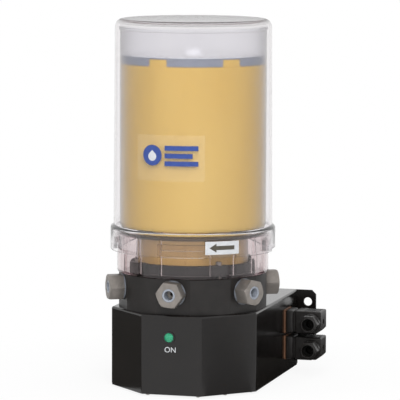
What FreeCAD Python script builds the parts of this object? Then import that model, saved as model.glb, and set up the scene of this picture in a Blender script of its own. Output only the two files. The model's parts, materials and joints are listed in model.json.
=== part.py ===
"""Cartridge lubrication pump: a six-outlet radial piston pump on a folded steel drive housing.

A clear bayonet cover holds a grease cartridge neck down on the pump body. An eccentric cam inside
the body works six radial plungers, each behind its own outlet fitting. All sizes are millimetres.
The pump is drawn round its reservoir axis with the housing's underside at z = 0 and its front
towards -Y, and moved at the end so that the origin is the centre of the four wall holes.
"""
import FreeCAD, Part
import os
from math import acos, asin, cos, pi, radians, sin, sqrt, tan

V = FreeCAD.Vector
UP = V(0, 0, 1)
FRONT = V(0, -1, 0)
RIGHT = V(1, 0, 0)

# Housing, folded from sheet steel
box_side_margin = 1.0
box_front_width = 69.0
axis_to_front = 88.0
axis_to_wall = 157.0
box_height = 90.0
sheet = 2.0
cover_sheet = 2.0
cover_inset = 0.5
flange_width = 14.0
fold_radius = 2.5
ear_reach = 22.3
ear_foot = 6.0
ear_corner = 5.0
wall_hole_d = 10.0
wall_hole_inset = 9.8
wall_hole_end = 14.0

# Small screws of the bottom cover
cover_screw_d = 3.0
cover_screw_head_d = 5.8
cover_screw_head = 2.4
cover_screw_length = 6.0
cover_screw_inset = 8.0
screw_clearance = 0.2

# Pump body, turned and milled from one casting
body_r = 84.0
body_height = 40.0
outlet_count = 6
outlet_rise = 23.6
flat_depth = 2.5
collar_inset = 15.5
collar_wall = 4.5
collar_height = 13.8
cam_chamber_r = 34.0
body_floor = 8.0
spigot_r = 22.0
spigot_depth = 6.0
spigot_clearance = 0.3
rim_round = 1.0
body_screw_d = 6.0
body_screw_length = 14.0
body_screw_inset = 16.0

# Outlet fittings
fitting_across_flats = 27.0
fitting_reach = 16.3
fitting_bevel = 1.6
fitting_thread_d = 16.0
fitting_thread_depth = 12.0
fitting_bore_d = 4.0
mouth_d = 15.0
mouth_depth = 14.0
bush_bore_d = 10.4
bush_clearance = 0.05
washer_d = 29.6
washer_thickness = 1.2
fitting_clock = (-5.5, -14.0, -3.0, 8.0, 0.0, 0.0)

# Pump elements behind the fittings
barrel_clearance = 0.02
barrel_overhang = 2.0
plunger_d = 6.0
plunger_clearance = 0.02
plunger_foot_d = 12.0
plunger_foot = 2.5
plunger_tail = 14.0
plunger_headroom = 6.0
spring_wire = 1.2
spring_turns = 4.5

# Drive shaft with its eccentric cam, bearings and stirrer
shaft_d = 16.0
shaft_clearance = 0.03
cam_r = 15.0
cam_throw = 3.0
cam_width = 14.0
cam_gap = 0.35
bearing_d = 30.0
bearing_clearance = 0.02
bearing_flange = 4.0
bearing_flange_thickness = 1.5
bridge_r = 44.0
bridge_thickness = 6.0
bridge_hub_r = 21.0
bridge_spoke = 12.0
bridge_rim = 5.0
bridge_clearance = 0.05
paddle_height = 9.0
paddle_gap = 1.5
paddle_hub_r = 13.0
paddle_blade = 4.0
paddle_wall_gap = 4.0
paddle_pitch_angle = 25.0
shaft_top_margin = 2.0

# Gear pair and motor under the top sheet
gear_module = 2.0
wheel_teeth = 40
pinion_teeth = 12
gear_width = 9.0
gear_backlash = 0.30
pressure_angle = 20.0
gear_drop = 13.0
wheel_hub_r = 15.0
wheel_hub = 5.0
wheel_hole_r = 7.0
motor_r = 19.0
motor_floor_gap = 6.0
gearbox_size = 42.0
gearbox_height = 12.0
gearbox_corner = 3.0
gearbox_gap = 4.0
motor_shaft_d = 6.0
motor_shaft_depth = 14.0
motor_boss_r = 8.0
motor_screw_inset = 5.0
bracket_sheet = 2.0
bracket_screw_gap = 9.0
bracket_depth = 44.0
bracket_flange = 10.0

# Circuit board on the rear wall
board_width = 110.0
board_height = 60.0
board_sheet = 1.6
standoff_length = 10.0
standoff_d = 6.0
standoff_inset = 5.0
standoff_pin = 1.5
relay = (27.5, 15.0, 16.0)
relay_from_middle = 11.0
terminals = (38.5, 10.0, 10.0)
terminal_drop = 10.0

# Indicator lamp
lamp_rise = 65.0
lamp_aside = -2.2
lens_d = 10.3
lens_dome = 2.6
bezel_d = 13.6
bezel_thickness = 1.6
lamp_barrel_length = 16.0
lamp_hole_clearance = 0.1
lens_seat = 0.4
lamp_nut_across_flats = 14.0
lamp_nut_thickness = 2.5

# Clear seat ring and the clamps that hold it
ring_r = 86.0
ring_wall = 4.0
ring_height = 46.0
ring_floor = 3.0
ring_floor_gap = 0.5
ring_shelf = 3.5
ring_shelf_gap = 3.0
ring_rib = 1.6
clamp_rib_gap = 0.5
ring_rib_count = 18
clamp_angle = 38.0
clamp_width = 15.0
clamp_depth = 8.5
clamp_clearance = 0.2
clamp_height = 12.0
clamp_screw_d = 4.0
clamp_screw_length = 22.0

# Bayonet between the seat ring and the cover
lug_count = 4
lug_angle = 34.0
lug_centre = 10.0
lug_height = 6.0
ring_lug_rise = 33.0
lug_reach = 3.9
lug_gap = 0.5
stop_angle = 3.0
stop_play_angle = 0.4

# Clear cover
cover_step = 4.2
cover_draft = 1.5
cover_rise = 286.0
cover_wall = 3.0
cover_corner = 9.0
skirt_step = 7.6
skirt_wall = 3.0
skirt_rise = 25.0
skirt_height = 27.0
skirt_notch_angle = 104.0
skirt_notch_width = 30.0
skirt_notch_height = 3.0
skirt_bead = 0.6

# Grease cartridge, its contents and its follower
cartridge_gap = 2.9
cartridge_wall = 1.5
cartridge_headroom = 6.0
cartridge_rim = 1.2
shoulder_round = 10.0
neck_gap = 3.0
neck_depth = 40.0
neck_seal_drop = 4.5
neck_grease_gap = 2.0
film = 0.05
follower_drop = 40.8
follower_height = 9.4
follower_skirt = 4.2
follower_web = 2.2
follower_clearance = 0.3
follower_boss_r = 10.0
follower_boss = 6.0
notch_count = 6
notch_width = 21.4
notch_depth = 8.0
notch_start = -13.0

# Valve-type electrical connectors on the right side
connector_y = 104.5
connector_rises = {"upper": 60.8, "lower": 30.3}
gasket_size = 28.0
gasket_thickness = 1.6
base_size = 26.8
base_reach = 9.0
groove = 1.6
groove_depth = 1.2
plug_width = 27.0
plug_height = 26.4
plug_reach = 33.0
plug_round = 2.0
plug_bevel = 5.5
rib_count = 7
rib_height = 0.7
rib_zone = 18.0
rib_end = 3.0
cable_hole_d = 16.0
gland_from_end = 11.0
gland_neck_r = 10.6
gland_neck = 7.0
nut_across_flats = 19.0
nut_length = 10.0
nut_lip_r = 8.6
nut_lip = 2.4
nut_bore_r = 7.1
seal_bore_r = 4.2
seal_length = 9.0
seal_setback = 3.0
gland_bore_depth = 10.0
gland_clearance = 0.05
end_screw_d = 3.0
end_screw_head_d = 6.0
end_screw_recess = 4.0

# Values worked out from the driving sizes
half_box = body_r + box_side_margin
body_screw_circle_r = body_r - body_screw_inset
origin_rise = (ear_foot + box_height) / 2
body_top = box_height + body_height
collar_top = body_top + collar_height
collar_r = ring_r - collar_inset
bowl_r = collar_r - collar_wall
flat_r = body_r - flat_depth
outlet_z = box_height + outlet_rise
outlet_pitch = 360.0 / outlet_count
bracket_half = body_screw_circle_r * sin(radians(outlet_pitch / 2)) + bracket_screw_gap
fitting_base_r = flat_r + washer_thickness
fitting_tip_r = fitting_base_r + fitting_reach
spigot_foot = box_height - spigot_depth
chamber_floor = box_height + body_floor
barrel_inner_r = cam_chamber_r + barrel_overhang
barrel_outer_r = fitting_base_r - fitting_thread_depth
plunger_reach = cam_r + cam_throw + cam_gap
bridge_foot = body_top - bridge_thickness
paddle_foot = body_top + paddle_gap
wheel_z = box_height - sheet - gear_drop - gear_width
centre_distance = gear_module * (wheel_teeth + pinion_teeth) / 2
gearbox_top = wheel_z - gearbox_gap - bracket_sheet
gearbox_foot = gearbox_top - gearbox_height
motor_foot = cover_sheet + motor_floor_gap
board_middle = (cover_sheet + box_height) / 2
ring_top = body_top + ring_height
shelf_foot = ring_top - ring_shelf
ring_lug_foot = body_top + ring_lug_rise
ring_floor_inner_r = collar_r + ring_floor_gap
clamp_screw_foot = body_top + ring_floor + clamp_height - clamp_screw_length
cover_lug_top = ring_lug_foot - lug_gap
cover_lug_foot = cover_lug_top - lug_height
skirt_r = ring_r + skirt_step
cover_foot_r = ring_r + cover_step
cover_top_r = cover_foot_r - cover_draft
lug_wall_gap = skirt_step - skirt_wall - lug_reach
skirt_foot = body_top + skirt_rise
skirt_top = skirt_foot + skirt_height
cover_top = body_top + cover_rise
cartridge_top = cover_top - cover_wall - cartridge_headroom
follower_foot = cartridge_top - follower_drop
cartridge_r = cover_top_r - cover_wall - cartridge_gap
neck_r = bowl_r - neck_gap
ring_shelf_inner_r = neck_r + ring_shelf_gap
bore_r = cartridge_r - cartridge_wall
neck_bore_r = neck_r - cartridge_wall
barrel_foot = ring_top + shoulder_round
neck_foot = ring_top - neck_depth
neck_grease_foot = paddle_foot + paddle_height + neck_grease_gap
base_face = half_box + gasket_thickness
plug_start = base_face + base_reach
plug_end = plug_start + plug_reach
gland_x = plug_end - gland_from_end
gland_face = connector_y - plug_width / 2
nut_base = gland_face - gland_neck


def block(x0, x1, y0, y1, z0, z1):
    return Part.makeBox(x1 - x0, y1 - y0, z1 - z0, V(x0, y0, z0))


def disc(r, z0, z1, x=0.0, y=0.0):
    return Part.makeCylinder(r, z1 - z0, V(x, y, z0), UP)


def ring(r_in, r_out, z0, z1):
    return disc(r_out, z0, z1).cut(disc(r_in, z0 - 1, z1 + 1))


def prism(points, z0, z1):
    """Upright prism on a closed outline of (x, y) points."""
    corners = [V(x, y, z0) for x, y in points]
    return Part.Face(Part.makePolygon(corners + corners[:1])).extrude(V(0, 0, z1 - z0))


def turned(points, angle=360.0):
    """Solid turned about the reservoir axis. A point (r, z) is a corner, and (r, z, r_mid, z_mid)
    ends an arc that starts at the point before it and passes through its middle point."""
    edges = []
    here = points[0][:2]
    for point in points[1:] + points[:1]:
        end = point[:2]
        if len(point) == 4:
            middle = V(point[2], 0, point[3])
            edges.append(Part.Arc(V(here[0], 0, here[1]), middle, V(end[0], 0, end[1])).toShape())
        elif end != here:
            edges.append(Part.makeLine(V(here[0], 0, here[1]), V(end[0], 0, end[1])))
        here = end
    return Part.Face(Part.Wire(edges)).revolve(V(0, 0, 0), UP, angle)


def dome(r, z_rim, z_top):
    """Closing arc of a spherical dome, from its rim (r, z_rim) to its top on the axis."""
    rise = abs(z_top - z_rim)
    sphere_r = (r * r + rise * rise) / (2 * rise)
    half = asin(r / sphere_r) / 2
    side = 1 if z_top > z_rim else -1
    return (0, z_top, sphere_r * sin(half), z_top - side * (sphere_r - sphere_r * cos(half)))


def outward(shape, azimuth):
    """Turns a piece that is drawn at the front of the pump round to its azimuth."""
    turned_copy = shape.copy()
    turned_copy.rotate(V(0, 0, 0), UP, azimuth)
    return turned_copy


def front_rod(r, start, end, z=outlet_z):
    """Cylinder along the front outlet's axis, between two radii of the pump."""
    return Part.makeCylinder(r, end - start, V(0, -start, z), FRONT)


def sector(r_in, r_out, z0, z1, middle, width):
    """Piece of a ring, width degrees wide and centred on an azimuth."""
    shape = turned([(r_in, z0), (r_out, z0), (r_out, z1), (r_in, z1)], width)
    return outward(shape, middle - width / 2 - 90.0)


def joined(shapes):
    return shapes[0].fuse(shapes[1:]).removeSplitter() if len(shapes) > 1 else shapes[0]


def group(shapes):
    return Part.makeCompound(shapes)


def hexagon_points(across_flats):
    radius = across_flats / sqrt(3.0)
    return [(radius * cos(radians(60 * k)), radius * sin(radians(60 * k))) for k in range(6)]


def front_hexagon(across_flats, length, origin, clock=0.0):
    """Hexagonal bar that runs towards the front, with two flats level when its clock is 0."""
    bar = prism(hexagon_points(across_flats), 0, length)
    bar.rotate(V(0, 0, 0), UP, clock)
    bar.rotate(V(0, 0, 0), RIGHT, 90.0)
    bar.translate(origin)
    return bar


def on_circle(r, azimuth):
    return r * sin(radians(azimuth)), -r * cos(radians(azimuth))


def outlet_azimuths():
    return [k * outlet_pitch for k in range(outlet_count)]


def box_outline(inset):
    """Outline of the housing: a rectangle whose two front corners are cut at 45 degrees."""
    half, front, wall = half_box - inset, axis_to_front - inset, axis_to_wall - inset
    diagonal = box_front_width / 2 + axis_to_front - inset * sqrt(2.0)
    right = [(diagonal - front, -front), (half, half - diagonal), (half, wall)]
    return right + [(-x, y) for x, y in reversed(right)]


def cover_screw_places():
    """Two screws at the front and rear, one in each cut corner and four along each side."""
    corner, bend, rear = box_outline(cover_screw_inset)[:3]
    right = [(corner[0] - 2.0, corner[1]), ((corner[0] + bend[0]) / 2, (corner[1] + bend[1]) / 2)]
    first, last = bend[1] + 4.0, rear[1] - 6.0
    right += [(rear[0], first + (last - first) * k / 3) for k in range(4)]
    right.append((corner[0] - 2.0, rear[1]))
    return right + [(-x, y) for x, y in right]


def body_screw_places():
    return [on_circle(body_screw_circle_r, a + outlet_pitch / 2) for a in outlet_azimuths()]


def wall_hole_places():
    """Four holes through the ears, as (x, z)."""
    x = half_box + ear_reach - wall_hole_inset
    return [(s * x, z) for s in (-1, 1) for z in (ear_foot + wall_hole_end, box_height - wall_hole_end)]


def standoff_places():
    x, z = board_width / 2 - standoff_inset, board_height / 2 - standoff_inset
    return [(sx * x, board_middle + sz * z) for sx in (-1, 1) for sz in (-1, 1)]


def is_top_or_fold(edge):
    """Edges that the sheet is bent at: the rim of the top and the four upright folds in front."""
    low, high = edge.BoundBox, edge.BoundBox
    upright = high.ZMax - low.ZMin > 1.0
    behind = low.YMin > axis_to_wall - 1.0
    return not behind and (upright or low.ZMin > box_height - 0.1)


def ears():
    x0, x1 = half_box - sheet, half_box + ear_reach
    y0, z0, z1 = axis_to_wall - sheet, ear_foot, box_height
    c = ear_corner
    outline = [(x0, z0), (x1 - c, z0), (x1, z0 + c), (x1, z1 - c), (x1 - c, z1), (x0, z1)]
    corners = [V(x, y0, z) for x, z in outline]
    right = Part.Face(Part.makePolygon(corners + corners[:1])).extrude(V(0, sheet, 0))
    return [right, right.mirror(V(0, 0, 0), RIGHT)]


def box_shell():
    outer = prism(box_outline(0.0), cover_sheet, box_height)
    outer = outer.makeFillet(fold_radius, [e for e in outer.Edges if is_top_or_fold(e)])
    inside = prism(box_outline(sheet), cover_sheet + sheet, box_height - sheet)
    mouth = prism(box_outline(sheet + flange_width), cover_sheet - 1, cover_sheet + sheet + 1)
    holes = [disc(spigot_r + spigot_clearance, box_height - sheet - 1, box_height + 1)]
    holes += [disc(body_screw_d / 2 + screw_clearance, box_height - sheet - 1, box_height + 1, x, y)
              for x, y in body_screw_places()]
    holes += [disc(cover_screw_d / 2 + screw_clearance, 0, cover_sheet + sheet + 1, x, y)
              for x, y in cover_screw_places()]
    holes += [Part.makeCylinder(wall_hole_d / 2, sheet + 2, V(x, axis_to_wall + 1, z), FRONT)
              for x, z in wall_hole_places()]
    holes.append(Part.makeCylinder(lens_d / 2 + lamp_hole_clearance, sheet + 2,
                                   V(lamp_aside, 1 + sheet - axis_to_front, lamp_rise), FRONT))
    holes += [Part.makeCylinder(cable_hole_d / 2, sheet + 2, V(half_box - sheet - 1, connector_y, z), RIGHT)
              for z in connector_rises.values()]
    return joined([outer.cut([inside, mouth])] + ears()).cut(holes)


def bottom_cover():
    plate = prism(box_outline(cover_inset), 0, cover_sheet)
    return plate.cut([disc(cover_screw_d / 2 + screw_clearance, -1, cover_sheet + 1, x, y)
                      for x, y in cover_screw_places()])


def pan_screw(origin, down=False):
    """Small pan-head screw, pointing up from its seat unless it points down."""
    r, h = cover_screw_head_d / 2, cover_screw_head
    head = turned([(0, 0), (r, 0), (r, -0.4 * h), dome(r, -0.4 * h, -h)])
    shank = disc(cover_screw_d / 2, 0, cover_screw_length)
    slots = [block(-0.6 * r, 0.6 * r, -0.35, 0.35, -h - 1, -0.6 * h),
             block(-0.35, 0.35, -0.6 * r, 0.6 * r, -h - 1, -0.6 * h)]
    screw = joined([head, shank]).cut(slots)
    if down:
        screw.rotate(V(0, 0, 0), RIGHT, 180.0)
    screw.translate(origin)
    return screw


def cap_screw(d, length, origin, down=False):
    """Socket-head cap screw, pointing up from its seat unless it points down."""
    socket = prism(hexagon_points(0.8 * d), -d - 1, -0.5 * d)
    screw = joined([disc(0.8 * d, -d, 0), disc(d / 2, 0, length)]).cut(socket)
    if down:
        screw.rotate(V(0, 0, 0), RIGHT, 180.0)
    screw.translate(origin)
    return screw


def bottom_cover_screws():
    return group([pan_screw(V(x, y, 0)) for x, y in cover_screw_places()])


def pump_body_screws():
    return group([cap_screw(body_screw_d, body_screw_length, V(x, y, box_height - sheet))
                  for x, y in body_screw_places()])


def pump_body():
    """Body with its bearing spigot below, cam chamber, bridge seat and the collar round the neck."""
    bearing_r = bearing_d / 2 + bearing_clearance
    c = rim_round
    body = turned([(bearing_r, spigot_foot), (spigot_r, spigot_foot), (spigot_r, box_height),
                   (body_r, box_height), (body_r, body_top - c),
                   (body_r - c, body_top, body_r - 0.3 * c, body_top - 0.3 * c),
                   (collar_r, body_top), (collar_r, collar_top - c),
                   (collar_r - c, collar_top, collar_r - 0.3 * c, collar_top - 0.3 * c),
                   (bowl_r, collar_top), (bowl_r, body_top),
                   (bridge_r + bridge_clearance, body_top), (bridge_r + bridge_clearance, bridge_foot),
                   (cam_chamber_r, bridge_foot), (cam_chamber_r, chamber_floor), (bearing_r, chamber_floor)])
    bore_radius = fitting_thread_d / 2 + barrel_clearance
    cuts = []
    for azimuth in outlet_azimuths():
        flat = block(-body_r, body_r, -body_r - 1, -flat_r, box_height - 1, body_top + 1)
        bore = front_rod(bore_radius, cam_chamber_r - 5, body_r)
        cuts += [outward(flat, azimuth), outward(bore, azimuth)]
    cuts += [disc(body_screw_d / 2 + film, box_height - 1, box_height + body_screw_length, x, y)
             for x, y in body_screw_places()]
    cuts += [disc(clamp_screw_d / 2 + film, clamp_screw_foot - 1, body_top + 1, x, y)
             for x, y in clamp_screw_places()]
    return body.cut(cuts)


def outlet_fitting(index):
    """Hexagon fitting: thread, hexagon with its outer corners turned off, and a mouth for the bush."""
    hexagon = front_hexagon(fitting_across_flats, fitting_reach, V(0, -fitting_base_r, outlet_z),
                            fitting_clock[index % len(fitting_clock)])
    corner_r = fitting_across_flats / sqrt(3.0)
    bevel = Part.makeCone(corner_r + fitting_bevel, corner_r - fitting_bevel, 2 * fitting_bevel,
                          V(0, 2 * fitting_bevel - fitting_tip_r, outlet_z), FRONT)
    barrel = front_rod(corner_r + 1, fitting_base_r, fitting_tip_r - 2 * fitting_bevel)
    thread = front_rod(fitting_thread_d / 2, barrel_outer_r, fitting_base_r + 1)
    fitting = joined([hexagon.common(joined([barrel, bevel])), thread])
    fitting = fitting.cut([front_rod(fitting_bore_d / 2, barrel_outer_r - 1, fitting_tip_r + 1),
                           front_rod(mouth_d / 2, fitting_tip_r - mouth_depth, fitting_tip_r + 1)])
    return outward(fitting, index * outlet_pitch)


def outlet_bushes():
    """Plastic bushes that line the fittings' mouths and take the outlet pipes."""
    start, end = fitting_tip_r - mouth_depth, fitting_tip_r
    bush = front_rod(mouth_d / 2 - bush_clearance, start, end)
    bush = bush.cut(front_rod(bush_bore_d / 2, start - 1, end + 1))
    return group([outward(bush, azimuth) for azimuth in outlet_azimuths()])


def outlet_washers():
    washer = front_rod(washer_d / 2, flat_r, fitting_base_r)
    washer = washer.cut(front_rod(fitting_thread_d / 2 + screw_clearance, flat_r - 1, fitting_base_r + 1))
    return group([outward(washer, azimuth) for azimuth in outlet_azimuths()])


def pump_barrel(index):
    """Barrel of one pump element, between the cam chamber and the fitting's thread."""
    bore_radius = plunger_d / 2 + plunger_clearance
    bore_end = plunger_reach + plunger_foot + plunger_tail + plunger_headroom
    barrel = front_rod(fitting_thread_d / 2, barrel_inner_r, barrel_outer_r)
    barrel = barrel.cut([front_rod(bore_radius, barrel_inner_r - 1, bore_end),
                         front_rod(fitting_bore_d / 2, barrel_inner_r, barrel_outer_r + 1)])
    return outward(barrel, index * outlet_pitch)


def plunger(index):
    """Plunger with the foot that rides on the cam, drawn at its outward dead centre."""
    foot = front_rod(plunger_foot_d / 2, plunger_reach, plunger_reach + plunger_foot)
    rod = front_rod(plunger_d / 2, plunger_reach, plunger_reach + plunger_foot + plunger_tail)
    return outward(joined([foot, rod]), index * outlet_pitch)


def plunger_springs():
    """Return springs of square wire between the plungers' feet and the barrels."""
    start, end = plunger_reach + plunger_foot, barrel_inner_r
    radius, half = plunger_foot_d / 2 - spring_wire / 2, spring_wire / 2
    length = end - start - spring_wire - 2 * film
    helix = Part.makeLongHelix(length / spring_turns, length, radius)
    corners = [V(radius + x, 0, z) for x, z in ((-half, -half), (half, -half), (half, half), (-half, half))]
    profile = Part.makePolygon(corners + corners[:1])
    coil = Part.Wire(helix.Edges).makePipeShell([profile], True, True)
    coil.rotate(V(0, 0, 0), RIGHT, 90.0)
    coil.translate(V(0, -start - spring_wire / 2 - film, outlet_z))
    return group([outward(coil, azimuth) for azimuth in outlet_azimuths()])


def bearing(foot, top, flange_below):
    """Flanged bronze bush on the drive shaft."""
    bore, outer, flange = shaft_d / 2 + shaft_clearance, bearing_d / 2, bearing_d / 2 + bearing_flange
    if flange_below:
        z0, z1 = foot - bearing_flange_thickness, foot
    else:
        z0, z1 = top, top + bearing_flange_thickness
    return joined([ring(bore, outer, foot, top), ring(bore, flange, z0, z1)])


def lower_bearing():
    return bearing(spigot_foot, chamber_floor, False)


def upper_bearing():
    return bearing(bridge_foot, body_top, True)


def bearing_bridge():
    """Three-spoked bridge over the cam chamber, open between its spokes for the grease."""
    rim = ring(bridge_r - bridge_rim, bridge_r, bridge_foot, body_top)
    hub = disc(bridge_hub_r, bridge_foot, body_top)
    spoke = block(-bridge_spoke / 2, bridge_spoke / 2, bridge_rim / 2 - bridge_r, 0, bridge_foot, body_top)
    bridge = joined([rim, hub] + [outward(spoke, 120.0 * k) for k in range(3)])
    return bridge.cut(disc(bearing_d / 2 + bearing_clearance, bridge_foot - 1, body_top + 1))


def drive_shaft():
    """Shaft with the eccentric cam in one piece, from the gear wheel up to the stirrer."""
    shaft = disc(shaft_d / 2, wheel_z, paddle_foot + paddle_height + shaft_top_margin)
    x, y = on_circle(cam_throw, outlet_pitch / 2)
    return joined([shaft, disc(cam_r, outlet_z - cam_width / 2, outlet_z + cam_width / 2, x, y)])


def stirrer_paddle():
    """Two-bladed stirrer that draws the grease down from the neck into the cam chamber."""
    z0, z1 = paddle_foot, paddle_foot + paddle_height
    reach = neck_bore_r - paddle_wall_gap
    hub = disc(paddle_hub_r, z0, z1)
    blade = block(-paddle_blade / 2, paddle_blade / 2, -reach, 0, z0, z1)
    blade.rotate(V(0, 0, (z0 + z1) / 2), V(0, 1, 0), paddle_pitch_angle)
    inside = disc(reach, z0, z1)
    blades = [outward(blade, a).common(inside) for a in (0.0, 180.0)]
    return joined([hub] + blades).cut(disc(shaft_d / 2 + film, z0 - 1, z1 + 1))


def gear_outline(teeth, phase):
    """Closed wire of a stub-toothed spur gear. Each flank is one arc through three involute points."""
    pitch_r = gear_module * teeth / 2
    base_r = pitch_r * cos(radians(pressure_angle))
    tip_r, root_r = pitch_r + 0.8 * gear_module, pitch_r - 1.05 * gear_module
    start_r = max(root_r, base_r)

    def involute(r):
        slope = acos(min(1.0, base_r / r))
        return tan(slope) - slope

    half_at_pitch = pi / (2 * teeth) - gear_backlash / (4 * pitch_r)

    def half_angle(r):
        return half_at_pitch + involute(pitch_r) - involute(r)

    def point(r, angle):
        return V(r * cos(angle), r * sin(angle), 0)

    mid_r = (start_r + tip_r) / 2
    edges = []
    for k in range(teeth):
        a = radians(phase) + 2 * pi * k / teeth
        start, mid, tip = half_angle(start_r), half_angle(mid_r), half_angle(tip_r)
        if root_r < start_r - 0.01:
            edges.append(Part.makeLine(point(root_r, a - start), point(start_r, a - start)))
        rising = Part.Arc(point(start_r, a - start), point(mid_r, a - mid), point(tip_r, a - tip))
        crest = Part.Arc(point(tip_r, a - tip), point(tip_r, a), point(tip_r, a + tip))
        falling = Part.Arc(point(tip_r, a + tip), point(mid_r, a + mid), point(start_r, a + start))
        edges += [rising.toShape(), crest.toShape(), falling.toShape()]
        if root_r < start_r - 0.01:
            edges.append(Part.makeLine(point(start_r, a + start), point(root_r, a + start)))
        following = a + 2 * pi / teeth - start
        gap = Part.Arc(point(root_r, a + start), point(root_r, a + pi / teeth), point(root_r, following))
        edges.append(gap.toShape())
    return Part.Wire(edges)


def gear(teeth, phase, z0, z1):
    outline = gear_outline(teeth, phase)
    outline.translate(V(0, 0, z0))
    return Part.Face(outline).extrude(V(0, 0, z1 - z0))


def drive_gear():
    """Gear wheel on the foot of the drive shaft, with a hub and three lightening holes."""
    wheel = joined([gear(wheel_teeth, 0.0, wheel_z, wheel_z + gear_width),
                    disc(wheel_hub_r, wheel_z + gear_width - 1, wheel_z + gear_width + wheel_hub)])
    hole_r = (wheel_hub_r + gear_module * wheel_teeth / 2 - 2 * gear_module) / 2
    holes = [disc(wheel_hole_r, wheel_z - 1, wheel_z + gear_width + 1, *on_circle(hole_r, 120.0 * k))
             for k in range(3)]
    return wheel.cut([disc(shaft_d / 2 + film, wheel_z - 1, wheel_z + gear_width + wheel_hub + 1)] + holes)


def motor_pinion():
    """Pinion and the motor's output shaft, on the far side of the gear wheel."""
    pinion = gear(pinion_teeth, 180.0 / pinion_teeth, wheel_z, wheel_z + gear_width)
    shaft = disc(motor_shaft_d / 2, gearbox_top - motor_shaft_depth, wheel_z + gear_width + 1)
    pinion = joined([pinion, shaft])
    pinion.translate(V(0, centre_distance, 0))
    return pinion


def motor_screw_places():
    side = gearbox_size / 2 - motor_screw_inset
    return [(sx * side, centre_distance + sy * side) for sx in (-1, 1) for sy in (-1, 1)]


def gear_motor():
    half = gearbox_size / 2
    box = block(-half, half, centre_distance - half, centre_distance + half, gearbox_foot, gearbox_top)
    box = box.makeFillet(gearbox_corner, [e for e in box.Edges if e.BoundBox.ZLength > 1.0])
    case = disc(motor_r, motor_foot, gearbox_foot + 1, 0, centre_distance)
    boss = disc(motor_boss_r, gearbox_top - 1, gearbox_top + bracket_sheet, 0, centre_distance)
    bore = disc(motor_shaft_d / 2 + shaft_clearance, gearbox_top - motor_shaft_depth - shaft_clearance,
                gearbox_top + bracket_sheet + 1, 0, centre_distance)
    holes = [disc(cover_screw_d / 2 + film, gearbox_top - cover_screw_length, gearbox_top + 1, x, y)
             for x, y in motor_screw_places()]
    return joined([box, case, boss]).cut([bore] + holes)


def motor_bracket():
    """Folded sheet cradle that hangs the motor from the housing's top sheet."""
    half, top = bracket_half, box_height - sheet
    y0, y1 = centre_distance - bracket_depth / 2, centre_distance + bracket_depth / 2
    right = [block(half - bracket_sheet, half, y0, y1, gearbox_top, top),
             block(half - bracket_sheet, half + bracket_flange, y0, y1, top - bracket_sheet, top)]
    left = [shape.mirror(V(0, 0, 0), RIGHT) for shape in right]
    floor = block(-half, half, y0, y1, gearbox_top, gearbox_top + bracket_sheet)
    holes = [disc(motor_boss_r + screw_clearance, gearbox_top - 1, gearbox_top + bracket_sheet + 1, 0,
                  centre_distance)]
    screw_r = cover_screw_d / 2 + screw_clearance
    holes += [disc(screw_r, gearbox_top - 1, gearbox_top + bracket_sheet + 1, x, y)
              for x, y in motor_screw_places()]
    return joined([floor] + right + left).cut(holes)


def motor_screws():
    seat = gearbox_top + bracket_sheet
    return group([pan_screw(V(x, y, seat), down=True) for x, y in motor_screw_places()])


def circuit_board():
    """Control board with its relay, terminal block and holes for the standoffs."""
    y1 = axis_to_wall - sheet - standoff_length
    y0 = y1 - board_sheet
    half, z0, z1 = board_width / 2, board_middle - board_height / 2, board_middle + board_height / 2
    board = block(-half, half, y0, y1, z0, z1)
    width, depth, height = relay
    relay_case = block(-relay_from_middle - width, -relay_from_middle, y0 - depth, y0 + 0.1,
                       board_middle - height / 2, board_middle + height / 2)
    width, depth, height = terminals
    top = board_middle - terminal_drop
    terminal_block = block(0, width, y0 - depth, y0 + 0.1, top - height, top)
    holes = [Part.makeCylinder(standoff_d / 4 + film, board_sheet + 2, V(x, y1 + 1, z), FRONT)
             for x, z in standoff_places()]
    return joined([board, relay_case, terminal_block]).cut(holes)


def board_standoffs():
    """Spacers with a pin that the board is pushed on to."""
    y1, pin_length = axis_to_wall - sheet, standoff_length + board_sheet + standoff_pin
    spacers = []
    for x, z in standoff_places():
        spacer = Part.makeCylinder(standoff_d / 2, standoff_length, V(x, y1, z), FRONT)
        pin = Part.makeCylinder(standoff_d / 4, pin_length, V(x, y1, z), FRONT)
        spacers.append(joined([spacer, pin]))
    return group(spacers)


def lamp_bezel():
    """Round bezel with the lamp's barrel behind it."""
    face = V(lamp_aside, -axis_to_front, lamp_rise)
    flange = Part.makeCylinder(bezel_d / 2, bezel_thickness, face, FRONT)
    seat = Part.makeCylinder(lens_d / 2 + film, bezel_thickness, face + FRONT * lens_seat, FRONT)
    barrel = Part.makeCylinder(lens_d / 2, lamp_barrel_length, face - FRONT * lamp_barrel_length, FRONT)
    return joined([flange.cut(seat), barrel])


def lamp_lens():
    """Domed lens, turned about the lamp's own axis."""
    r = lens_d / 2
    lens = turned([(0, lens_seat), (r, lens_seat), (r, bezel_thickness),
                   dome(r, bezel_thickness, bezel_thickness + lens_dome)])
    lens.rotate(V(0, 0, 0), RIGHT, 90.0)
    lens.translate(V(lamp_aside, -axis_to_front, lamp_rise))
    return lens


def lamp_nut():
    """Nut that holds the lamp from inside the front sheet."""
    inner = sheet - axis_to_front
    nut = front_hexagon(lamp_nut_across_flats, lamp_nut_thickness,
                        V(lamp_aside, inner + lamp_nut_thickness, lamp_rise))
    return nut.cut(Part.makeCylinder(lens_d / 2 + film, lamp_nut_thickness + 2,
                                     V(lamp_aside, inner + lamp_nut_thickness + 1, lamp_rise), FRONT))


def lugs(r_in, r_out, z0, z1):
    pitch = 360.0 / lug_count
    return [sector(r_in, r_out, z0, z1, lug_centre + k * pitch, lug_angle) for k in range(lug_count)]


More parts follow.
